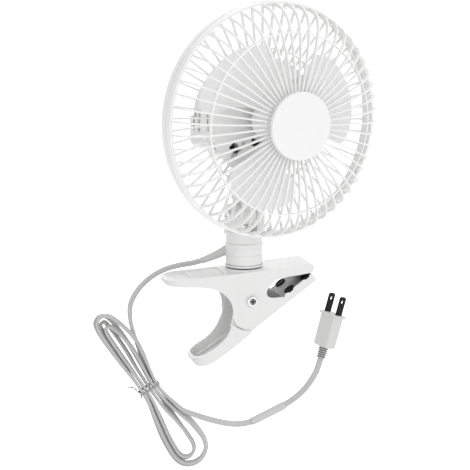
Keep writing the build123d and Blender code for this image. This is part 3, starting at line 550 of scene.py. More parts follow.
WHITE_SHELL = Finish("white_shell_plastic", (0.82, 0.82, 0.816), 0.38, depth=0.02)
WHITE_GUARD = Finish("white_guard_plastic", (0.92, 0.92, 0.916), 0.34, depth=0.015)
BADGE_FACE = Finish(
    "badge_plastic", (0.92, 0.92, 0.92), 0.3, relief=Relief.BRUSHED, grain=1800.0, depth=0.01
)
BLADE_WHITE = Finish("blade_plastic", (0.91, 0.91, 0.91), 0.32, depth=0.01)
KNOB_GREY = Finish("knob_plastic", (0.80, 0.80, 0.80), 0.42)
BLACK_PLASTIC = Finish("black_plastic", (0.03, 0.03, 0.03), 0.5)
GROMMET = Finish("grommet_rubber", (0.60, 0.60, 0.595), 0.55, depth=0.04)
PAD_BLACK = Finish(
    "pad_rubber", (0.008, 0.008, 0.009), 0.7, grain=3500.0, depth=0.06, drift=0.2, sheen=0.2
)
ZINC = Finish("zinc_screw", (0.66, 0.66, 0.67), 0.28, 1.0, Relief.BRUSHED, grain=1500.0)
SPRING_WIRE = Finish("spring_wire", (0.42, 0.42, 0.43), 0.35, 1.0, Relief.BRUSHED)
PLAIN_STEEL = Finish("plain_steel", (0.56, 0.56, 0.57), 0.4, 1.0, Relief.BRUSHED)
BRONZE = Finish("bearing_bronze", (0.50, 0.36, 0.18), 0.45, 1.0, drift=0.2)
CORE_STEEL = Finish(
    "core_steel", (0.20, 0.20, 0.205), 0.5, 1.0, Relief.LAMINATED, 320.0, depth=0.12, drift=0.25
)
COPPER = Finish("coil_copper", (0.55, 0.26, 0.12), 0.35, 1.0, Relief.WOUND, 420.0, depth=0.2)
CORD_VINYL = Finish("cord_vinyl", (0.53, 0.53, 0.527), 0.42, grain=1800.0, drift=0.05)
PLUG_VINYL = Finish("plug_vinyl", (0.70, 0.70, 0.696), 0.45, grain=1600.0, depth=0.04, drift=0.05)
PLUG_METAL = Finish(
    "plug_metal", (0.008, 0.008, 0.009), 0.45, relief=Relief.BRUSHED, drift=0.1, sheen=0.12
)
SLEEVE_FILM = Finish("sleeve_film", (0.60, 0.60, 0.597), 0.28, grain=700.0, depth=0.1, drift=0.08)
RELIEF_VINYL = Finish("relief_vinyl", (0.60, 0.60, 0.595), 0.48, grain=1800.0, drift=0.05)
TIE_VINYL = Finish("tie_vinyl", (0.34, 0.34, 0.345), 0.45, drift=0.1)

FINISHED_NODES: dict[Finish, tuple[str, ...]] = {
    WHITE_SHELL: (
        "clip_upper_half",
        "clip_lower_half",
        "neck_collar",
        "neck_stem",
        "motor_housing",
    ),
    WHITE_GUARD: ("front_grille", "rear_grille"),
    BADGE_FACE: ("hub_badge",),
    BLADE_WHITE: ("fan_blades", "blade_nut"),
    KNOB_GREY: ("speed_knob",),
    BLACK_PLASTIC: ("speed_switch", "neck_washer"),
    GROMMET: ("cord_gland",),
    PAD_BLACK: ("lower_jaw_pads", "upper_jaw_pads"),
    ZINC: (
        "pivot_screw",
        "pivot_nut",
        "swivel_screw",
        "swivel_washer",
        "tilt_bolt",
        "tilt_nut",
        "motor_screws",
        "housing_screws",
        "grille_screw",
    ),
    SPRING_WIRE: ("clip_spring",),
    PLAIN_STEEL: ("motor_shaft", "motor_spacers", "rear_end_frame", "front_end_frame"),
    BRONZE: ("front_bearing", "rear_bearing"),
    CORE_STEEL: ("stator_core", "rotor_core"),
    COPPER: ("stator_coils",),
    CORD_VINYL: ("power_cord_in", "cord_hank", "power_cord_out"),
    PLUG_VINYL: ("plug_body", "plug_relief"),
    PLUG_METAL: ("plug_blades",),
    SLEEVE_FILM: ("cord_sleeve",),
    TIE_VINYL: ("twist_tie",),
}
NODE_FINISHES = {node: finish for finish, nodes in FINISHED_NODES.items() for node in nodes}

# Rooms in the clip's halves whose inner faces get painted shade.
PAINTED_SHADE_ROOMS: dict[str, tuple[Room, ...]] = {
    "clip_upper_half": (
        Room(half=16.95, start=-32.0, end=9.0, floor=-60.0, rise=0.0, slope=0.0645, roof=8.45),
    ),
    "clip_lower_half": (
        Room(half=14.6, start=-26.0, end=8.3, floor=-9.9, rise=0.715, slope=0.0, roof=20.0),
        Room(half=17.2, start=-33.0, end=-13.6, floor=-14.3, rise=0.0, slope=0.0, roof=20.0),
    ),
}


# ---------------------------------------------------------------- mesh helpers

# The cord's groove falls off over this share of its half width.
GROOVE_SPREAD = 0.24


def new_piece(bm: Mesh, name: str, material: Material) -> Piece:
    """Make an object of a bmesh and free the bmesh.

    Args:
        bm: the mesh, in the row frame in metres.
        name: name of the object.
        material: its material.

    Returns:
        The new object, in the scene.
    """
    mesh = bpy.data.meshes.new(name)
    bm.to_mesh(mesh)
    bm.free()
    mesh.materials.append(material)
    piece = bpy.data.objects.new(name, mesh)
    bpy.context.scene.collection.objects.link(piece)
    return piece


def finish_piece(
    bm: Mesh, name: str, material: Material, body: str, smooth_angle: float
) -> Piece:
    """Turn a bmesh into a piece that rides on a body.

    Args:
        bm: the mesh, in the row frame in metres.
        name: name of the piece.
        material: its material.
        body: the body that it moves with.
        smooth_angle: edges sharper than this many degrees stay sharp.

    Returns:
        The new object.
    """
    bmesh.ops.recalc_face_normals(bm, faces=bm.faces)
    for face in bm.faces:
        face.smooth = True
    limit = math.radians(smooth_angle)
    for edge in bm.edges:
        if len(edge.link_faces) == 2 and edge.calc_face_angle(0.0) > limit:
            edge.smooth = False
    piece = new_piece(bm, name, material)
    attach(piece, body)
    LOG.info("%s: %d faces on %s", name, len(piece.data.polygons), body)
    return piece


def ring_frames(
    path: Sequence[Vector], wide: Sequence[Vector], roll: Sequence[float], closed: bool = False
) -> list[Matrix]:
    """Upright section frames along a path, each with its X axis near a given direction.

    Args:
        path: points of the centre line.
        wide: direction that the section's width keeps to at each point.
        roll: turn of the section about the path at each point, in radians.
        closed: the last point comes before the first, as round a band.

    Returns:
        A matrix for each point, its Z axis along the path.
    """
    frames = []
    count = len(path)
    for i, here in enumerate(path):
        after = (i + 1) % count if closed else min(i + 1, count - 1)
        before = i - 1 if closed else max(i - 1, 0)
        along = (path[after] - path[before]).normalized()
        level = (wide[i] - along * wide[i].dot(along)).normalized()
        across = Matrix.Rotation(roll[i], 3, along) @ level
        turn = Matrix((across, along.cross(across), along)).transposed().to_4x4()
        frames.append(Matrix.Translation(here) @ turn)
    return frames


def travelled(path: Sequence[Vector]) -> list[float]:
    """Distance along a path at each of its points.

    Args:
        path: points of the path.

    Returns:
        The distance from the first point to each.
    """
    distance = [0.0]
    for before, here in zip(path, path[1:]):
        distance.append(distance[-1] + (here - before).length)
    return distance


def ease(value: float, low: float, high: float) -> float:
    """Smooth step from 0 at low to 1 at high."""
    share = min(max((value - low) / (high - low), 0.0), 1.0)
    return share * share * (3.0 - 2.0 * share)


def sweep_rings(
    bm: Mesh,
    frames: Sequence[Matrix],
    section: Callable[[int, int], Sequence[Vector]],
    closed: bool = False,
) -> None:
    """Sweep a section of shaped circles along frames by extruding its ring of edges.

    Args:
        bm: mesh that takes the sweep.
        frames: place of each ring.
        section: gives the ring's points in its own frame, for ring i of n.
        closed: join the last ring to the first, as round a band.
    """
    count = len(frames)
    shape = section(0, count)
    ring = bmesh.ops.create_circle(bm, cap_ends=False, segments=len(shape), radius=MM)["verts"]
    for vert, spot in zip(ring, shape):
        vert.co = frames[0] @ spot
    first = list(ring)
    edges = list(dict.fromkeys(edge for vert in ring for edge in vert.link_edges))
    opening = list(edges)
    for i in range(1, count):
        out = bmesh.ops.extrude_edge_only(bm, edges=edges)["geom"]
        step = [edge for edge in out if isinstance(edge, bmesh.types.BMEdge)]
        fresh = {vert for vert in out if isinstance(vert, bmesh.types.BMVert)}
        linked = []
        for vert in ring:
            others = (edge.other_vert(vert) for edge in vert.link_edges)
            linked.append(next(other for other in others if other in fresh))
        ring = linked
        for vert, spot in zip(ring, section(i, count)):
            vert.co = frames[i] @ spot
        edges = [edge for edge in step if fresh.issuperset(edge.verts)]
    if closed:
        bmesh.ops.bridge_loops(bm, edges=edges + opening)
    else:
        bmesh.ops.contextual_create(bm, geom=first)
        bmesh.ops.contextual_create(bm, geom=ring)


def rounded(angle: float, half_wide: float, half_high: float, power: float) -> tuple[float, float]:
    """Point of a rounded box.

    Args:
        angle: where on the outline, in radians.
        half_wide: half of its width.
        half_high: half of its height.
        power: 2 is an ellipse, more is squarer.

    Returns:
        The point, in the unit of the halves.
    """
    c, s = math.cos(angle), math.sin(angle)
    x = half_wide * math.copysign(abs(c) ** (2 / power), c)
    return x, half_high * math.copysign(abs(s) ** (2 / power), s)


def oval(
    half_wide: float, half_thick: float, segments: int, power: float, groove: float = 0.0
) -> list[Vector]:
    """Points of a rounded section in millimetres, scaled to metres.

    Args:
        half_wide: half of its width.
        half_thick: half of its thickness.
        segments: how many points.
        power: 2 is an ellipse, more is squarer.
        groove: depth of a groove down the middle of both flat sides, as a share.

    Returns:
        Points in the XY plane in metres.
    """
    spread = GROOVE_SPREAD * half_wide
    points = []
    for k in range(segments):
        x, y = rounded(2 * math.pi * k / segments, half_wide, half_thick, power)
        y *= 1.0 - groove * math.exp(-((x / spread) ** 2))
        points.append(Vector((x * MM, y * MM, 0.0)))
    return points


# ---------------------------------------------------------------- cord


@dataclass
class HankRoute:
    """Route of the bundled cord: four loops in two layers, tied at the waist.

    Attributes:
        middle: centre of the waist, about the neck axis.
        lean: how far the hank leans from upright, in radians.
        column: step between strands at the waist.
        layer: step between the two layers.
        tight: radius of the round ends against half of the step between their strands.
    """

    middle: Point = (-76.4, 12.0, -97.0)
    lean: float = math.radians(31.6)
    column: float = 3.3
    layer: float = 5.5
    tight: float = 0.995

    def spot(self, u: float, v: float, layer: float) -> Point:
        """Point of the hank.

        Args:
            u: place down the hank from its waist.
            v: place across it.
            layer: 1 for the layer behind, -1 for the one in front.

        Returns:
            The point about the neck axis.
        """
        x = self.middle[0] + u * math.sin(self.lean) + v * math.cos(self.lean)
        z = self.middle[2] - u * math.cos(self.lean) + v * math.sin(self.lean)
        return (x, self.middle[1] + layer * self.layer / 2, z)

    def directions(self) -> tuple[Vector, Vector, Vector]:
        """Middle of the waist, and the directions across and down the hank.

        Returns:
            The middle in metres, the direction across and the direction down.
        """
        middle = metres(self.middle)
        across = (metres(self.spot(0.0, 1.0, 0.0)) - middle).normalized()
        down = (metres(self.spot(1.0, 0.0, 0.0)) - middle).normalized()
        return middle, across, down

    def bend(
        self, u: float, left: float, right: float, end: int, layer: int, going: int
    ) -> list[Point]:
        """Points of a round end between two strands.

        Args:
            u: where the strands begin to turn.
            left: place across of the left strand.
            right: place across of the right strand.
            end: 1 at the lower end, -1 at the upper one.
            layer: layer of the turn.
            going: 1 from left to right, -1 back.

        Returns:
            Three points in u, v and layer.
        """
        middle = (right + left) / 2
        reach = self.tight * (right - left) / 2 / math.cos(math.radians(30))
        corners = []
        for angle in map(math.radians, (150, 90, 30)):
            place = (u + end * reach * math.sin(angle), middle + reach * math.cos(angle), layer)
            corners.append(place)
        return corners if going > 0 else corners[::-1]

    @staticmethod
    def strand(layer: int, *places: tuple[float, float]) -> list[Point]:
        """Points of a strand that stays in one layer, from the u and v of each."""
        return [(u, v, layer) for u, v in places]

    def points(self) -> list[Point]:
        """Every point of the hank, from the fan's side to the plug's side.

        Returns:
            The points about the neck axis.
        """
        c, d = self.column, 2 * self.column
        bend, strand = self.bend, self.strand
        back, front, low, high, there, home = 1, -1, 1, -1, 1, -1
        flat = [
            *strand(back, (-46.0, 14.2), (-34.0, 10.8), (-20.0, 8.0), (-6.0, d), (8.0, d)),
            *strand(back, (26.0, 9.8), (46.0, 15.2)),
            *bend(63.0, -14.9, 16.1, low, back, home),
            *strand(back, (46.0, -14.4), (26.0, -10.2), (8.0, -d), (-8.0, -d)),
            *strand(back, (-30.0, -8.2), (-50.0, -9.6)),
            *bend(-66.0, -9.6, 3.9, high, back, there),
            *strand(back, (-50.0, 6.2), (-28.0, 5.4), (-6.0, c), (8.0, c)),
            *strand(back, (30.0, 4.6), (48.0, 5.2)),
            *bend(62.0, -11.0, 5.4, low, back, home),
            *strand(back, (46.0, -10.5), (26.0, -6.5), (8.0, -c), (-8.0, -c)),
            *strand(back, (-30.0, -4.6), (-50.0, -5.9)),
            *bend(-64.0, -6.0, 0.2, high, back, there),
            *strand(back, (-52.0, 0.9), (-34.0, 1.2), (-20.0, 0.1)),
            *strand(front, (8.0, 0.0), (20.0, 0.8), (32.0, 3.2), (48.0, 5.4)),
            *bend(60.0, -9.8, 5.4, low, front, home),
            *strand(front, (46.0, -9.0), (28.0, -6.0), (8.0, -c), (-8.0, -c)),
            *strand(front, (-30.0, -4.2), (-48.0, -4.6)),
            *bend(-60.0, -4.7, 1.8, high, front, there),
            *strand(front, (-46.0, 5.6), (-28.0, 6.2), (-6.0, c), (8.0, c)),
            *strand(front, (28.0, 7.8), (46.0, 13.2)),
            *bend(60.6, -13.5, 14.9, low, front, home),
            *strand(front, (46.0, -13.0), (28.0, -9.9), (8.0, -d), (-8.0, -d)),
            *strand(front, (-30.0, -7.9), (-50.0, -8.6)),
            *bend(-66.0, -8.6, 5.6, high, front, there),
            *strand(front, (-56.0, 9.8), (-42.0, 12.4), (-26.0, 10.8), (-6.0, d)),
            *strand(front, (8.0, d + 0.1), (24.0, 10.6)),
        ]
        return [self.spot(*place) for place in flat]


@dataclass
class PowerCord:
    """Flat two-core cord from the neck, through its hank, to the plug.

    Attributes:
        width: width of the flat cord.
        thickness: its thickness.
        length: its real length in metres.
        gland_face: where it leaves the gland.
        gland_axis: direction in which it leaves.
        plug_end: where it enters the plug's relief.
        plug_axis: direction of the plug.
        loose_in: length of the free stretch before the bundle, in metres.
        loose_out: length of the free stretch after it, in metres.
        settle: length over which the flat section turns, in metres.
        broad: turn of the section in the free stretches, in radians.
        fanned: lean of the sections in the bundle's loops, in radians.
        loops: distances from the waist between which the lean sets in.
        straight: how far it keeps straight at the gland, the bundle's two ends and the plug.
        near: points of the free stretch before the bundle.
        far: points of the free stretch after it.
        hank: route of the bundle.
    """

    width: float = 5.0
    thickness: float = 2.8
    length: float = 1.55
    gland_face: Point = (-14.7032, 6.8152, 13.6084)
    gland_axis: Point = (-0.788, 0.368, -0.494)
    plug_end: Point = (68.4, 8.0, -81.0)
    plug_axis: Point = (0.265, 0.0, 0.964)
    loose_in: float = 0.116
    loose_out: float = 0.148
    settle: float = 0.032
    broad: float = math.radians(68.0)
    fanned: float = math.radians(28.0)
    loops: tuple[float, float] = (9.0, 30.0)
    straight: tuple[float, float, float, float] = (8.0, 8.5, 8.0, 10.0)
    near: tuple[Point, ...] = (
        (-34.8, 17.0, 3.2),
        (-47.4, 21.6, 1.0),
        (-60.8, 23.2, -2.2),
        (-73.4, 22.4, -8.6),
        (-84.0, 20.2, -17.8),
        (-91.0, 17.4, -29.0),
    )
    far: tuple[Point, ...] = (
        (-42.5, 8.6, -120.4),
        (-30.0, 8.0, -125.6),
        (-17.2, 7.6, -129.8),
        (-4.4, 7.4, -132.6),
        (7.6, 7.4, -131.8),
        (18.0, 7.5, -127.4),
        (29.0, 7.55, -122.7),
        (39.0, 7.6, -118.4),
        (52.4, 7.8, -109.6),
        (61.0, 8.0, -99.0),
    )
    hank: HankRoute = field(default_factory=HankRoute)

    def route(self) -> list[Vector]:
        """Control points of the whole cord, in the row frame in metres.

        Returns:
            The points, from the gland to the plug.
        """
        bundle = [Vector(place) for place in self.hank.points()]
        gland, plug = Vector(self.gland_face), Vector(self.plug_end)
        leave, come, go, enter = self.straight
        before = bundle[0] - (bundle[1] - bundle[0]).normalized() * come
        after = bundle[-1] + (bundle[-1] - bundle[-2]).normalized() * go
        line = [gland, gland + Vector(self.gland_axis) * leave, *self.near, before, *bundle, after]
        line += [*self.far, plug - Vector(self.plug_axis) * enter, plug]
        return [metres(place) for place in line]

    @staticmethod
    def centre_line(points: Sequence[Vector], fineness: int) -> list[Vector]:
        """Points along the smooth line of a route.

        Args:
            points: the route's control points.
            fineness: how finely the line is read.

        Returns:
            The points of the line.
        """
        curve = bpy.data.curves.new("route", "CURVE")
        curve.dimensions = "3D"
        spline = curve.splines.new("NURBS")
        spline.points.add(len(points) - 1)
        for spot, point in zip(spline.points, points):
            spot.co = (*point, 1.0)
        spline.order_u = 3
        spline.use_endpoint_u = True
        spline.resolution_u = fineness
        carrier = bpy.data.objects.new("route", curve)
        mesh = bpy.data.meshes.new_from_object(carrier)
        line = [vertex.co.copy() for vertex in mesh.vertices]
        bpy.data.objects.remove(carrier)
        bpy.data.curves.remove(curve)
        bpy.data.meshes.remove(mesh)
        return line

    def roll_along(self, line: Sequence[Vector]) -> list[float]:
        """Turn of the flat section: on edge in the bundle, broad side out elsewhere.

        Args:
            line: points of the cord's line.

        Returns:
            The turn at each point, in radians.
        """
        distance = travelled(line)
        leaves = distance[-1] - self.loose_out
        turns = []
        for here in distance:
            before = 1.0 - ease(here, self.loose_in - self.settle, self.loose_in)
            after = ease(here, leaves, leaves + self.settle)
            turns.append(self.broad * max(before, after))
        return turns

    def frames_along(self, line: Sequence[Vector]) -> list[Matrix]:
        """Section frames of the flat cord, leaning in the loops and on edge at the waist.

        Args:
            line: points of the cord's line.

        Returns:
            A matrix for each point.
        """
        middle, across, down = self.hank.directions()
        roll = self.roll_along(line)
        widths = []
        for here, turned in zip(line, roll):
            far = abs((here - middle).dot(down)) / MM
            lean = self.fanned * ease(far, *self.loops) * (1.0 - turned / self.broad)
            widths.append(FRONT_TO_BACK * math.cos(lean) + across * math.sin(lean))
        return ring_frames(line, widths, roll)

    def stretch(self, line: Sequence[Vector], start: float, end: float) -> list[Matrix]:
        """Section frames of a part of the cord.

        Args:
            line: points of the cord's line.
            start: distance along the line where the part starts, in metres.
            end: distance where it ends.

        Returns:
            A matrix for each point of the part.
        """
        distance = travelled(line)
        first = next(i for i, here in enumerate(distance) if here >= start)
        last = next(i for i, here in enumerate(distance) if here >= end)
        return self.frames_along(line)[first : last + 1]

    def build(self, finishes: Finishes) -> tuple[Piece, list[Vector]]:
        """Make the cord.

        Args:
            finishes: where its material comes from.

        Returns:
            The cord and the line that it follows.
        """
        line = self.centre_line(self.route(), fineness=6)
        bm = bmesh.new()
        section = oval(self.width / 2, self.thickness / 2, segments=20, power=2.3, groove=0.2)
        sweep_rings(bm, self.frames_along(line), lambda i, n: section)
        vinyl = finishes.material(CORD_VINYL)
        cord = finish_piece(bm, "power_cord", vinyl, "clip_and_neck", 60.0)
        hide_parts("power_cord_in", "cord_hank", "power_cord_out")
        return cord, line


@dataclass
class NeckRelief:
    """Tapered sleeve moulded round the cord where it leaves the neck.

    Attributes:
        long: length of the sleeve in metres.
        wide: half width at the neck and at the end.
        thick: half thickness at the neck and at the end.
        lip: share of the section that its end is rounded off by.
        lip_from: share of the length where that starts.
    """

    long: float = 0.021
    wide: tuple[float, float] = (3.75, 2.85)
    thick: tuple[float, float] = (3.3, 1.75)
    lip: float = 0.175
    lip_from: float = 0.93

    def section(self, i: int, count: int) -> list[Vector]:
        """Section of one ring.

        Args:
            i: number of the ring.
            count: how many rings there are.

        Returns:
            Its points in metres.
        """
        share = i / (count - 1)
        end = 1.0 - self.lip * ease(share, self.lip_from, 1.0)
        wide = (self.wide[0] + (self.wide[1] - self.wide[0]) * share) * end
        thick = (self.thick[0] + (self.thick[1] - self.thick[0]) * share) * end
        return oval(wide, thick, segments=28, power=2.2)

    def build(self, finishes: Finishes, cord: PowerCord, fine_line: Sequence[Vector]) -> Piece:
        """Make the sleeve round the first stretch of the cord.

        Args:
            finishes: where its material comes from.
            cord: the cord that it holds.
            fine_line: finely read line of the cord.

        Returns:
            The sleeve.
        """
        bm = bmesh.new()
        sweep_rings(bm, cord.stretch(fine_line, 0.0, self.long), self.section)
        vinyl = finishes.material(RELIEF_VINYL)
        return finish_piece(bm, "neck_relief", vinyl, "clip_and_neck", 50.0)


@dataclass
class FilmSleeve:
    """Blank film wrapped round the cord before the plug.

    Attributes:
        middle: middle of the wrapped run, about the neck axis.
        long: length of the film in metres.
        half_wide: half of its width.
        half_thick: half of its thickness.
        crease: height of its soft creases.
        waves: pace of the creases' two waves, and start of the second.
        tuck: how far both ends are drawn in.
        tuck_from: share from the middle to an end where that starts.
    """

    middle: Point = (22.84, 7.5, -125.33)
    long: float = 0.031
    half_wide: float = 3.25
    half_thick: float = 2.3
    crease: float = 0.12
    waves: Point = (1.7, 0.53, 0.8)
    tuck: float = 0.25
    tuck_from: float = 0.9

    def section(self, i: int, count: int) -> list[Vector]:
        """Section of one ring, creased and drawn in at the ends.

        Args:
            i: number of the ring.
            count: how many rings there are.

        Returns:
            Its points in metres.
        """
        quick, slow, start = self.waves
        ripple = self.crease * math.sin(i * quick) * math.sin(i * slow + start)
        tuck = self.tuck * ease(abs(2.0 * i / (count - 1) - 1.0), self.tuck_from, 1.0)
        wide, thick = self.half_wide + ripple - tuck, self.half_thick - ripple - tuck
        return oval(wide, thick, segments=28, power=2.4)

    def build(self, finishes: Finishes, cord: PowerCord, fine_line: Sequence[Vector]) -> Piece:
        """Wrap the film round the cord's straight run.

        Args:
            finishes: where its material comes from.
            cord: the cord that it wraps.
            fine_line: finely read line of the cord.

        Returns:
            The film.
        """
        spot = metres(self.middle)
        nearest = min(range(len(fine_line)), key=lambda i: (fine_line[i] - spot).length)
        centre = travelled(fine_line)[nearest]
        frames = cord.stretch(fine_line, centre - self.long / 2, centre + self.long / 2)
        bm = bmesh.new()
        sweep_rings(bm, frames, self.section)
        thin = finishes.material(SLEEVE_FILM)
        film = finish_piece(bm, "film_sleeve", thin, "clip_and_neck", 50.0)
        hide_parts("cord_sleeve")
        return film


@dataclass
class TwistTie:
    """Flat vinyl tie with a wire core, pulled round the bundle's waist and twisted.

    Attributes:
        half_across: half of the loop across the strands.
        half_deep: half of the loop through the two layers.
        corner: how squarely the loop follows the strands.
        skew: how far the loop runs off square down the strands.
        half_wide: half of the tie's width.
        half_thick: half of its thickness.
        core: extra thickness over the wire.
        wire: spread of that thickness.
        twisted: size of the twisted ends beside the band.
        twist: turn of the ends for each millimetre, in radians.
        tails: the two twisted ends, in the bundle's own u, v and layer.
    """

    half_across: float = 8.55
    half_deep: float = 5.8
    corner: float = 5.0
    skew: float = 0.5
    half_wide: float = 1.1
    half_thick: float = 0.28
    core: float = 0.28
    wire: float = 0.3
    twisted: float = 0.62
    twist: float = math.pi / 4
    tails: tuple[tuple[Point, ...], ...] = (
        ((0.0, -8.5, -0.4), (-4.4, -9.9, -0.8), (-9.4, -10.4, -1.2), (-11.4, -14.6, -1.0)),
        ((0.0, -8.5, -0.4), (2.0, -9.6, -0.9), (3.8, -9.9, -1.3)),
    )

    def section(self) -> list[Vector]:
        """Flat strip with a rounded ridge over its wire.

        Returns:
            Its points in metres.
        """
        strip = oval(self.half_wide, self.half_thick, segments=20, power=3.0)
        for point in strip:
            swell = math.exp(-((point.x / (self.wire * MM)) ** 2))
            point.y += math.copysign(self.core * MM * swell, point.y)
        return strip

    def build(self, finishes: Finishes, hank: HankRoute) -> Piece:
        """Wind the tie round the waist.

        Args:
            finishes: where its material comes from.
            hank: the bundle that it holds.

        Returns:
            The tie.
        """
        middle, across, down = hank.directions()
        strip = self.section()
        thin = [point * self.twisted for point in strip]
        bm = bmesh.new()
        steps = 72
        loop = []
        for k in range(steps):
            angle = 2 * math.pi * k / steps
            v, w = rounded(angle, self.half_across, self.half_deep, self.corner)
            off_square = down * (self.skew * math.cos(angle))
            loop.append(middle + (across * v + FRONT_TO_BACK * w + off_square) * MM)
        band = ring_frames(loop, [down] * steps, [0.0] * steps, closed=True)
        sweep_rings(bm, band, lambda i, n: strip, closed=True)
        for tail in self.tails:
            spots = [metres(hank.spot(*place)) for place in tail]
            line = PowerCord.centre_line(spots, fineness=10)
            roll = [self.twist * here / MM for here in travelled(line)]
            frames = ring_frames(line, [FRONT_TO_BACK] * len(line), roll)
            sweep_rings(bm, frames, lambda i, n: thin)
        vinyl = finishes.material(TIE_VINYL)
        tie = finish_piece(bm, "wire_tie", vinyl, "clip_and_neck", 40.0)
        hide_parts("twist_tie")
        return tie


# ---------------------------------------------------------------- clip


@dataclass
class ClipSpring:
    """Torsion spring of the clip, shaped as the solid has it.

    Attributes:
        still: half of the coil's length between its two legs.
        weld: distance below which the solid's loose corners are one point.
    """

    still: float = 4.6
    weld: float = 0.005

    def build(self, frame: dict, finishes: Finishes) -> Piece:
        """Make the spring, with one leg on each half of the clip.

        Args:
            finishes: where its material comes from.

        Returns:
            The spring.
        """
        bm = bmesh.new()
        bm.from_mesh(frame["nodes"]["clip_spring"].data)
        bmesh.ops.remove_doubles(bm, verts=bm.verts, dist=self.weld * MM)
        for face in bm.faces:
            face.smooth = True
        spring = new_piece(bm, "wound_spring", finishes.material(SPRING_WIRE))
        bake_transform(spring)
        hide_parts("clip_spring")
        LOG.info("%s winds between the clip's halves", spring.name)
        return spring


# ---------------------------------------------------------------- studio


@dataclass(frozen=True)
class Lamp:
    """A square lamp that points at the fan.

    Attributes:
        name: its name.
        at: its place in metres.
        size: its side in metres.
        power: its power in watts.
    """

    name: str
    at: Point
    size: float
    power: float


@dataclass
class Studio:
    """Camera, lamps and pale ground.

    Attributes:
        camera_at: place of the camera in metres.
        looks_at: point that it looks at.
        lens: focal length of the camera.
        sensor: width of its sensor.
        lamps: the lamps.
        aim: point that the lamps face.
        world_strength: strength of the light from all round.
        floor_height: height of the ground in metres.
        floor_half: half of the ground's side in metres.
        floor_grey: tone of the ground.
        floor_glow: light that the ground adds where it is seen.
    """

    camera_at: Point = (-0.4518, -1.447, 0.327)
    looks_at: Point = (-0.04862, 0.00683, 0.03373)
    lens: float = 146.2
    sensor: float = 36.0
    lamps: tuple[Lamp, ...] = (
        Lamp("key", (0.45, -1.45, 0.50), 0.8, 4.0),
        Lamp("fill", (-0.85, -1.35, -0.12), 0.9, 4.2),
        Lamp("top", (0.6, 0.2, 1.05), 0.5, 3.6),
        Lamp("back", (-0.2, 1.35, 0.5), 0.9, 3.6),
    )
    aim: Point = (-0.03, 0.0, 0.05)
    world_strength: float = 0.70
    floor_height: float = -0.185
    floor_half: float = 14.0
    floor_grey: float = 0.9
    floor_glow: float = 0.62

    @staticmethod
    def _stand(name: str, data: bpy.types.ID, at: Point, aim: Point) -> Piece:
        """Stand a camera or lamp in its place, facing a point.

        Args:
            name: name of the object.
            data: the camera or the lamp.
            at: its place.
            aim: the point that it faces.

        Returns:
            The object.
        """
        holder = bpy.data.objects.new(name, data)
        bpy.context.scene.collection.objects.link(holder)
        holder.location = at
        holder.rotation_euler = (Vector(aim) - Vector(at)).to_track_quat("-Z", "Y").to_euler()
        return holder

    def place_camera(self) -> None:
        """Create the camera at the photograph's angle."""
        data = bpy.data.cameras.new("camera")
        data.lens = self.lens
        data.sensor_width = self.sensor
        data.clip_start = 0.05
        camera = self._stand("camera", data, self.camera_at, self.looks_at)
        bpy.context.scene.camera = camera

    def light(self) -> None:
        """Set lamps, world and view transform."""
        scene = bpy.context.scene
        scene.view_settings.view_transform = "Standard"
        for lamp in self.lamps:
            data = bpy.data.lights.new(lamp.name, "AREA")
            data.size = lamp.size
            data.energy = lamp.power
            self._stand(lamp.name, data, lamp.at, self.aim)
        world = bpy.data.worlds.new("studio")
        scene.world = world
        world.use_nodes = True
        wiring = Wiring(world.node_tree)
        white = opaque((1.0, 1.0, 1.0))
        lit = wiring.feed(
            wiring.tree.nodes["Background"], {"Color": white, "Strength": self.world_strength}
        )
        shown = wiring.place("Background", {"Color": white, "Strength": 1.0})
        end = wiring.tree.nodes["World Output"]
        self._show_to_eye(wiring, lit.outputs["Background"], shown.outputs["Background"], end)

    @staticmethod
    def _show_to_eye(
        wiring: Wiring, lit: Socket, shown: Socket, end: Node
    ) -> None:
        """Mix two shaders so that camera, glossy and transmission rays see the second.

        Args:
            wiring: nodes to build in.
            lit: what lights the scene.
            shown: what is seen.
            end: node that takes the result.
        """
        rays = wiring.place("LightPath").outputs
        seen = wiring.work("MAXIMUM", rays["Is Camera Ray"], rays["Is Glossy Ray"])
        seen = wiring.work("MAXIMUM", seen, rays["Is Transmission Ray"])
        mix = wiring.place("MixShader", {0: seen, 1: lit, 2: shown})
        wiring.join(mix.outputs[0], end.inputs["Surface"])

    def lay_floor(self) -> None:
        """Lay a pale ground that keeps the object's soft shadow."""
        material = bpy.data.materials.new("ground_white")
        material.use_nodes = True
        wiring = Wiring(material.node_tree)
        grey = opaque((self.floor_grey,) * 3)
        matte = wiring.feed(
            wiring.tree.nodes["Principled BSDF"],
            {"Base Color": grey, "Roughness": 0.9, "Specular IOR Level": 0.0},
        ).outputs["BSDF"]
        glow = wiring.place("Emission", {"Strength": self.floor_glow})
        both = wiring.place("AddShader", {0: matte, 1: glow.outputs["Emission"]})
        end = wiring.tree.nodes["Material Output"]
        self._show_to_eye(wiring, matte, both.outputs["Shader"], end)
        bm = bmesh.new()
        bmesh.ops.create_grid(bm, x_segments=1, y_segments=1, size=self.floor_half)
        bmesh.ops.translate(bm, verts=bm.verts, vec=(0.0, 0.0, self.floor_height))
        new_piece(bm, "ground", material)


# ---------------------------------------------------------------- assembly


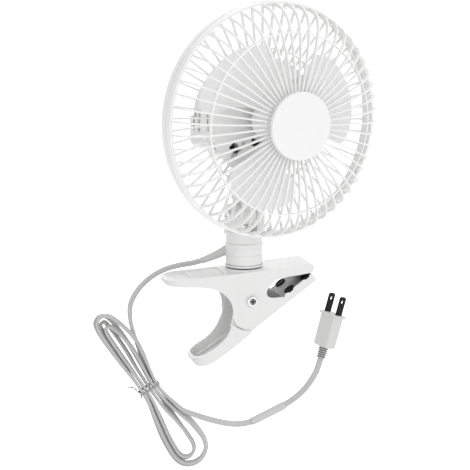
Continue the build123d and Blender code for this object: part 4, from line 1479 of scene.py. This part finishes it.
@dataclass
class ClipFan:
    """The whole dressed fan.

    Attributes:
        finishes: the materials.
        cord: the mains cord.
        relief: its sleeve at the neck.
        film: the film wrapped round it.
        tie: the tie round its bundle.
        spring: the clip's spring.
    """

    frame: dict
    finishes: Finishes = field(default_factory=Finishes)
    cord: PowerCord = field(default_factory=PowerCord)
    relief: NeckRelief = field(default_factory=NeckRelief)
    film: FilmSleeve = field(default_factory=FilmSleeve)
    tie: TwistTie = field(default_factory=TwistTie)
    spring: ClipSpring = field(default_factory=ClipSpring)

    def add_cord(self) -> None:
        piece, line = self.cord.build(self.finishes)
        fine_line = self.cord.centre_line(self.cord.route(), fineness=24)
        relief = self.relief.build(self.finishes, self.cord, fine_line)
        film = self.film.build(self.finishes, self.cord, fine_line)
        tie = self.tie.build(self.finishes, self.cord.hank)

    def add_spring(self) -> None:
        """Give the clip its spring."""
        self.spring.build(self.frame, self.finishes)

    def dress(self, name: str, material: Material) -> None:
        """Give a carried-over solid its material.

        Args:
            name: name of the solid.
            material: what it gets.
        """
        node = self.frame["nodes"][name]
        if not node.material_slots:
            node.data.materials.append(material)
        for holder in node.material_slots:
            holder.material = material
        LOG.info("%s dressed as %s", name, material.name)

    def dress_solids(self) -> None:
        """Give every carried-over solid its finish."""
        for name in self.frame["nodes"]:
            self.dress(name, self.finishes.material(NODE_FINISHES[name]))

    def darken_pivot_cross(self) -> None:
        """Paint shade into the pivot screw's cross and on the face round it."""
        low, high = (Vector(corner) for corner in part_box("pivot_screw"))
        self.dress("pivot_screw", self.finishes.sunk_screw(ZINC, low, high))

    def paint_clip_inside_shade(self) -> None:
        """Paint shade on the inner faces of the clip's jaws."""
        for name, rooms in PAINTED_SHADE_ROOMS.items():
            self.dress(name, self.finishes.painted_shade_inside(WHITE_SHELL, name, rooms))

    def shade_relief_grooves(self) -> None:
        """Give the plug's relief the shade in its grooves."""
        foot, axis = metres(self.cord.plug_end), Vector(self.cord.plug_axis).normalized()
        self.dress("plug_relief", self.finishes.grooved(RELIEF_VINYL, foot, axis))


def main() -> None:
    """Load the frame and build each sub-assembly in order."""
    logging.basicConfig(level=logging.INFO, format="%(name)s %(message)s")
    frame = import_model()
    studio = Studio()
    studio.place_camera()
    fan = ClipFan(frame)
    fan.add_cord()
    fan.dress_solids()
    fan.darken_pivot_cross()
    fan.add_spring()
    fan.paint_clip_inside_shade()
    fan.shade_relief_grooves()
    studio.light()
    studio.lay_floor()


if __name__ == "__main__":
    main()
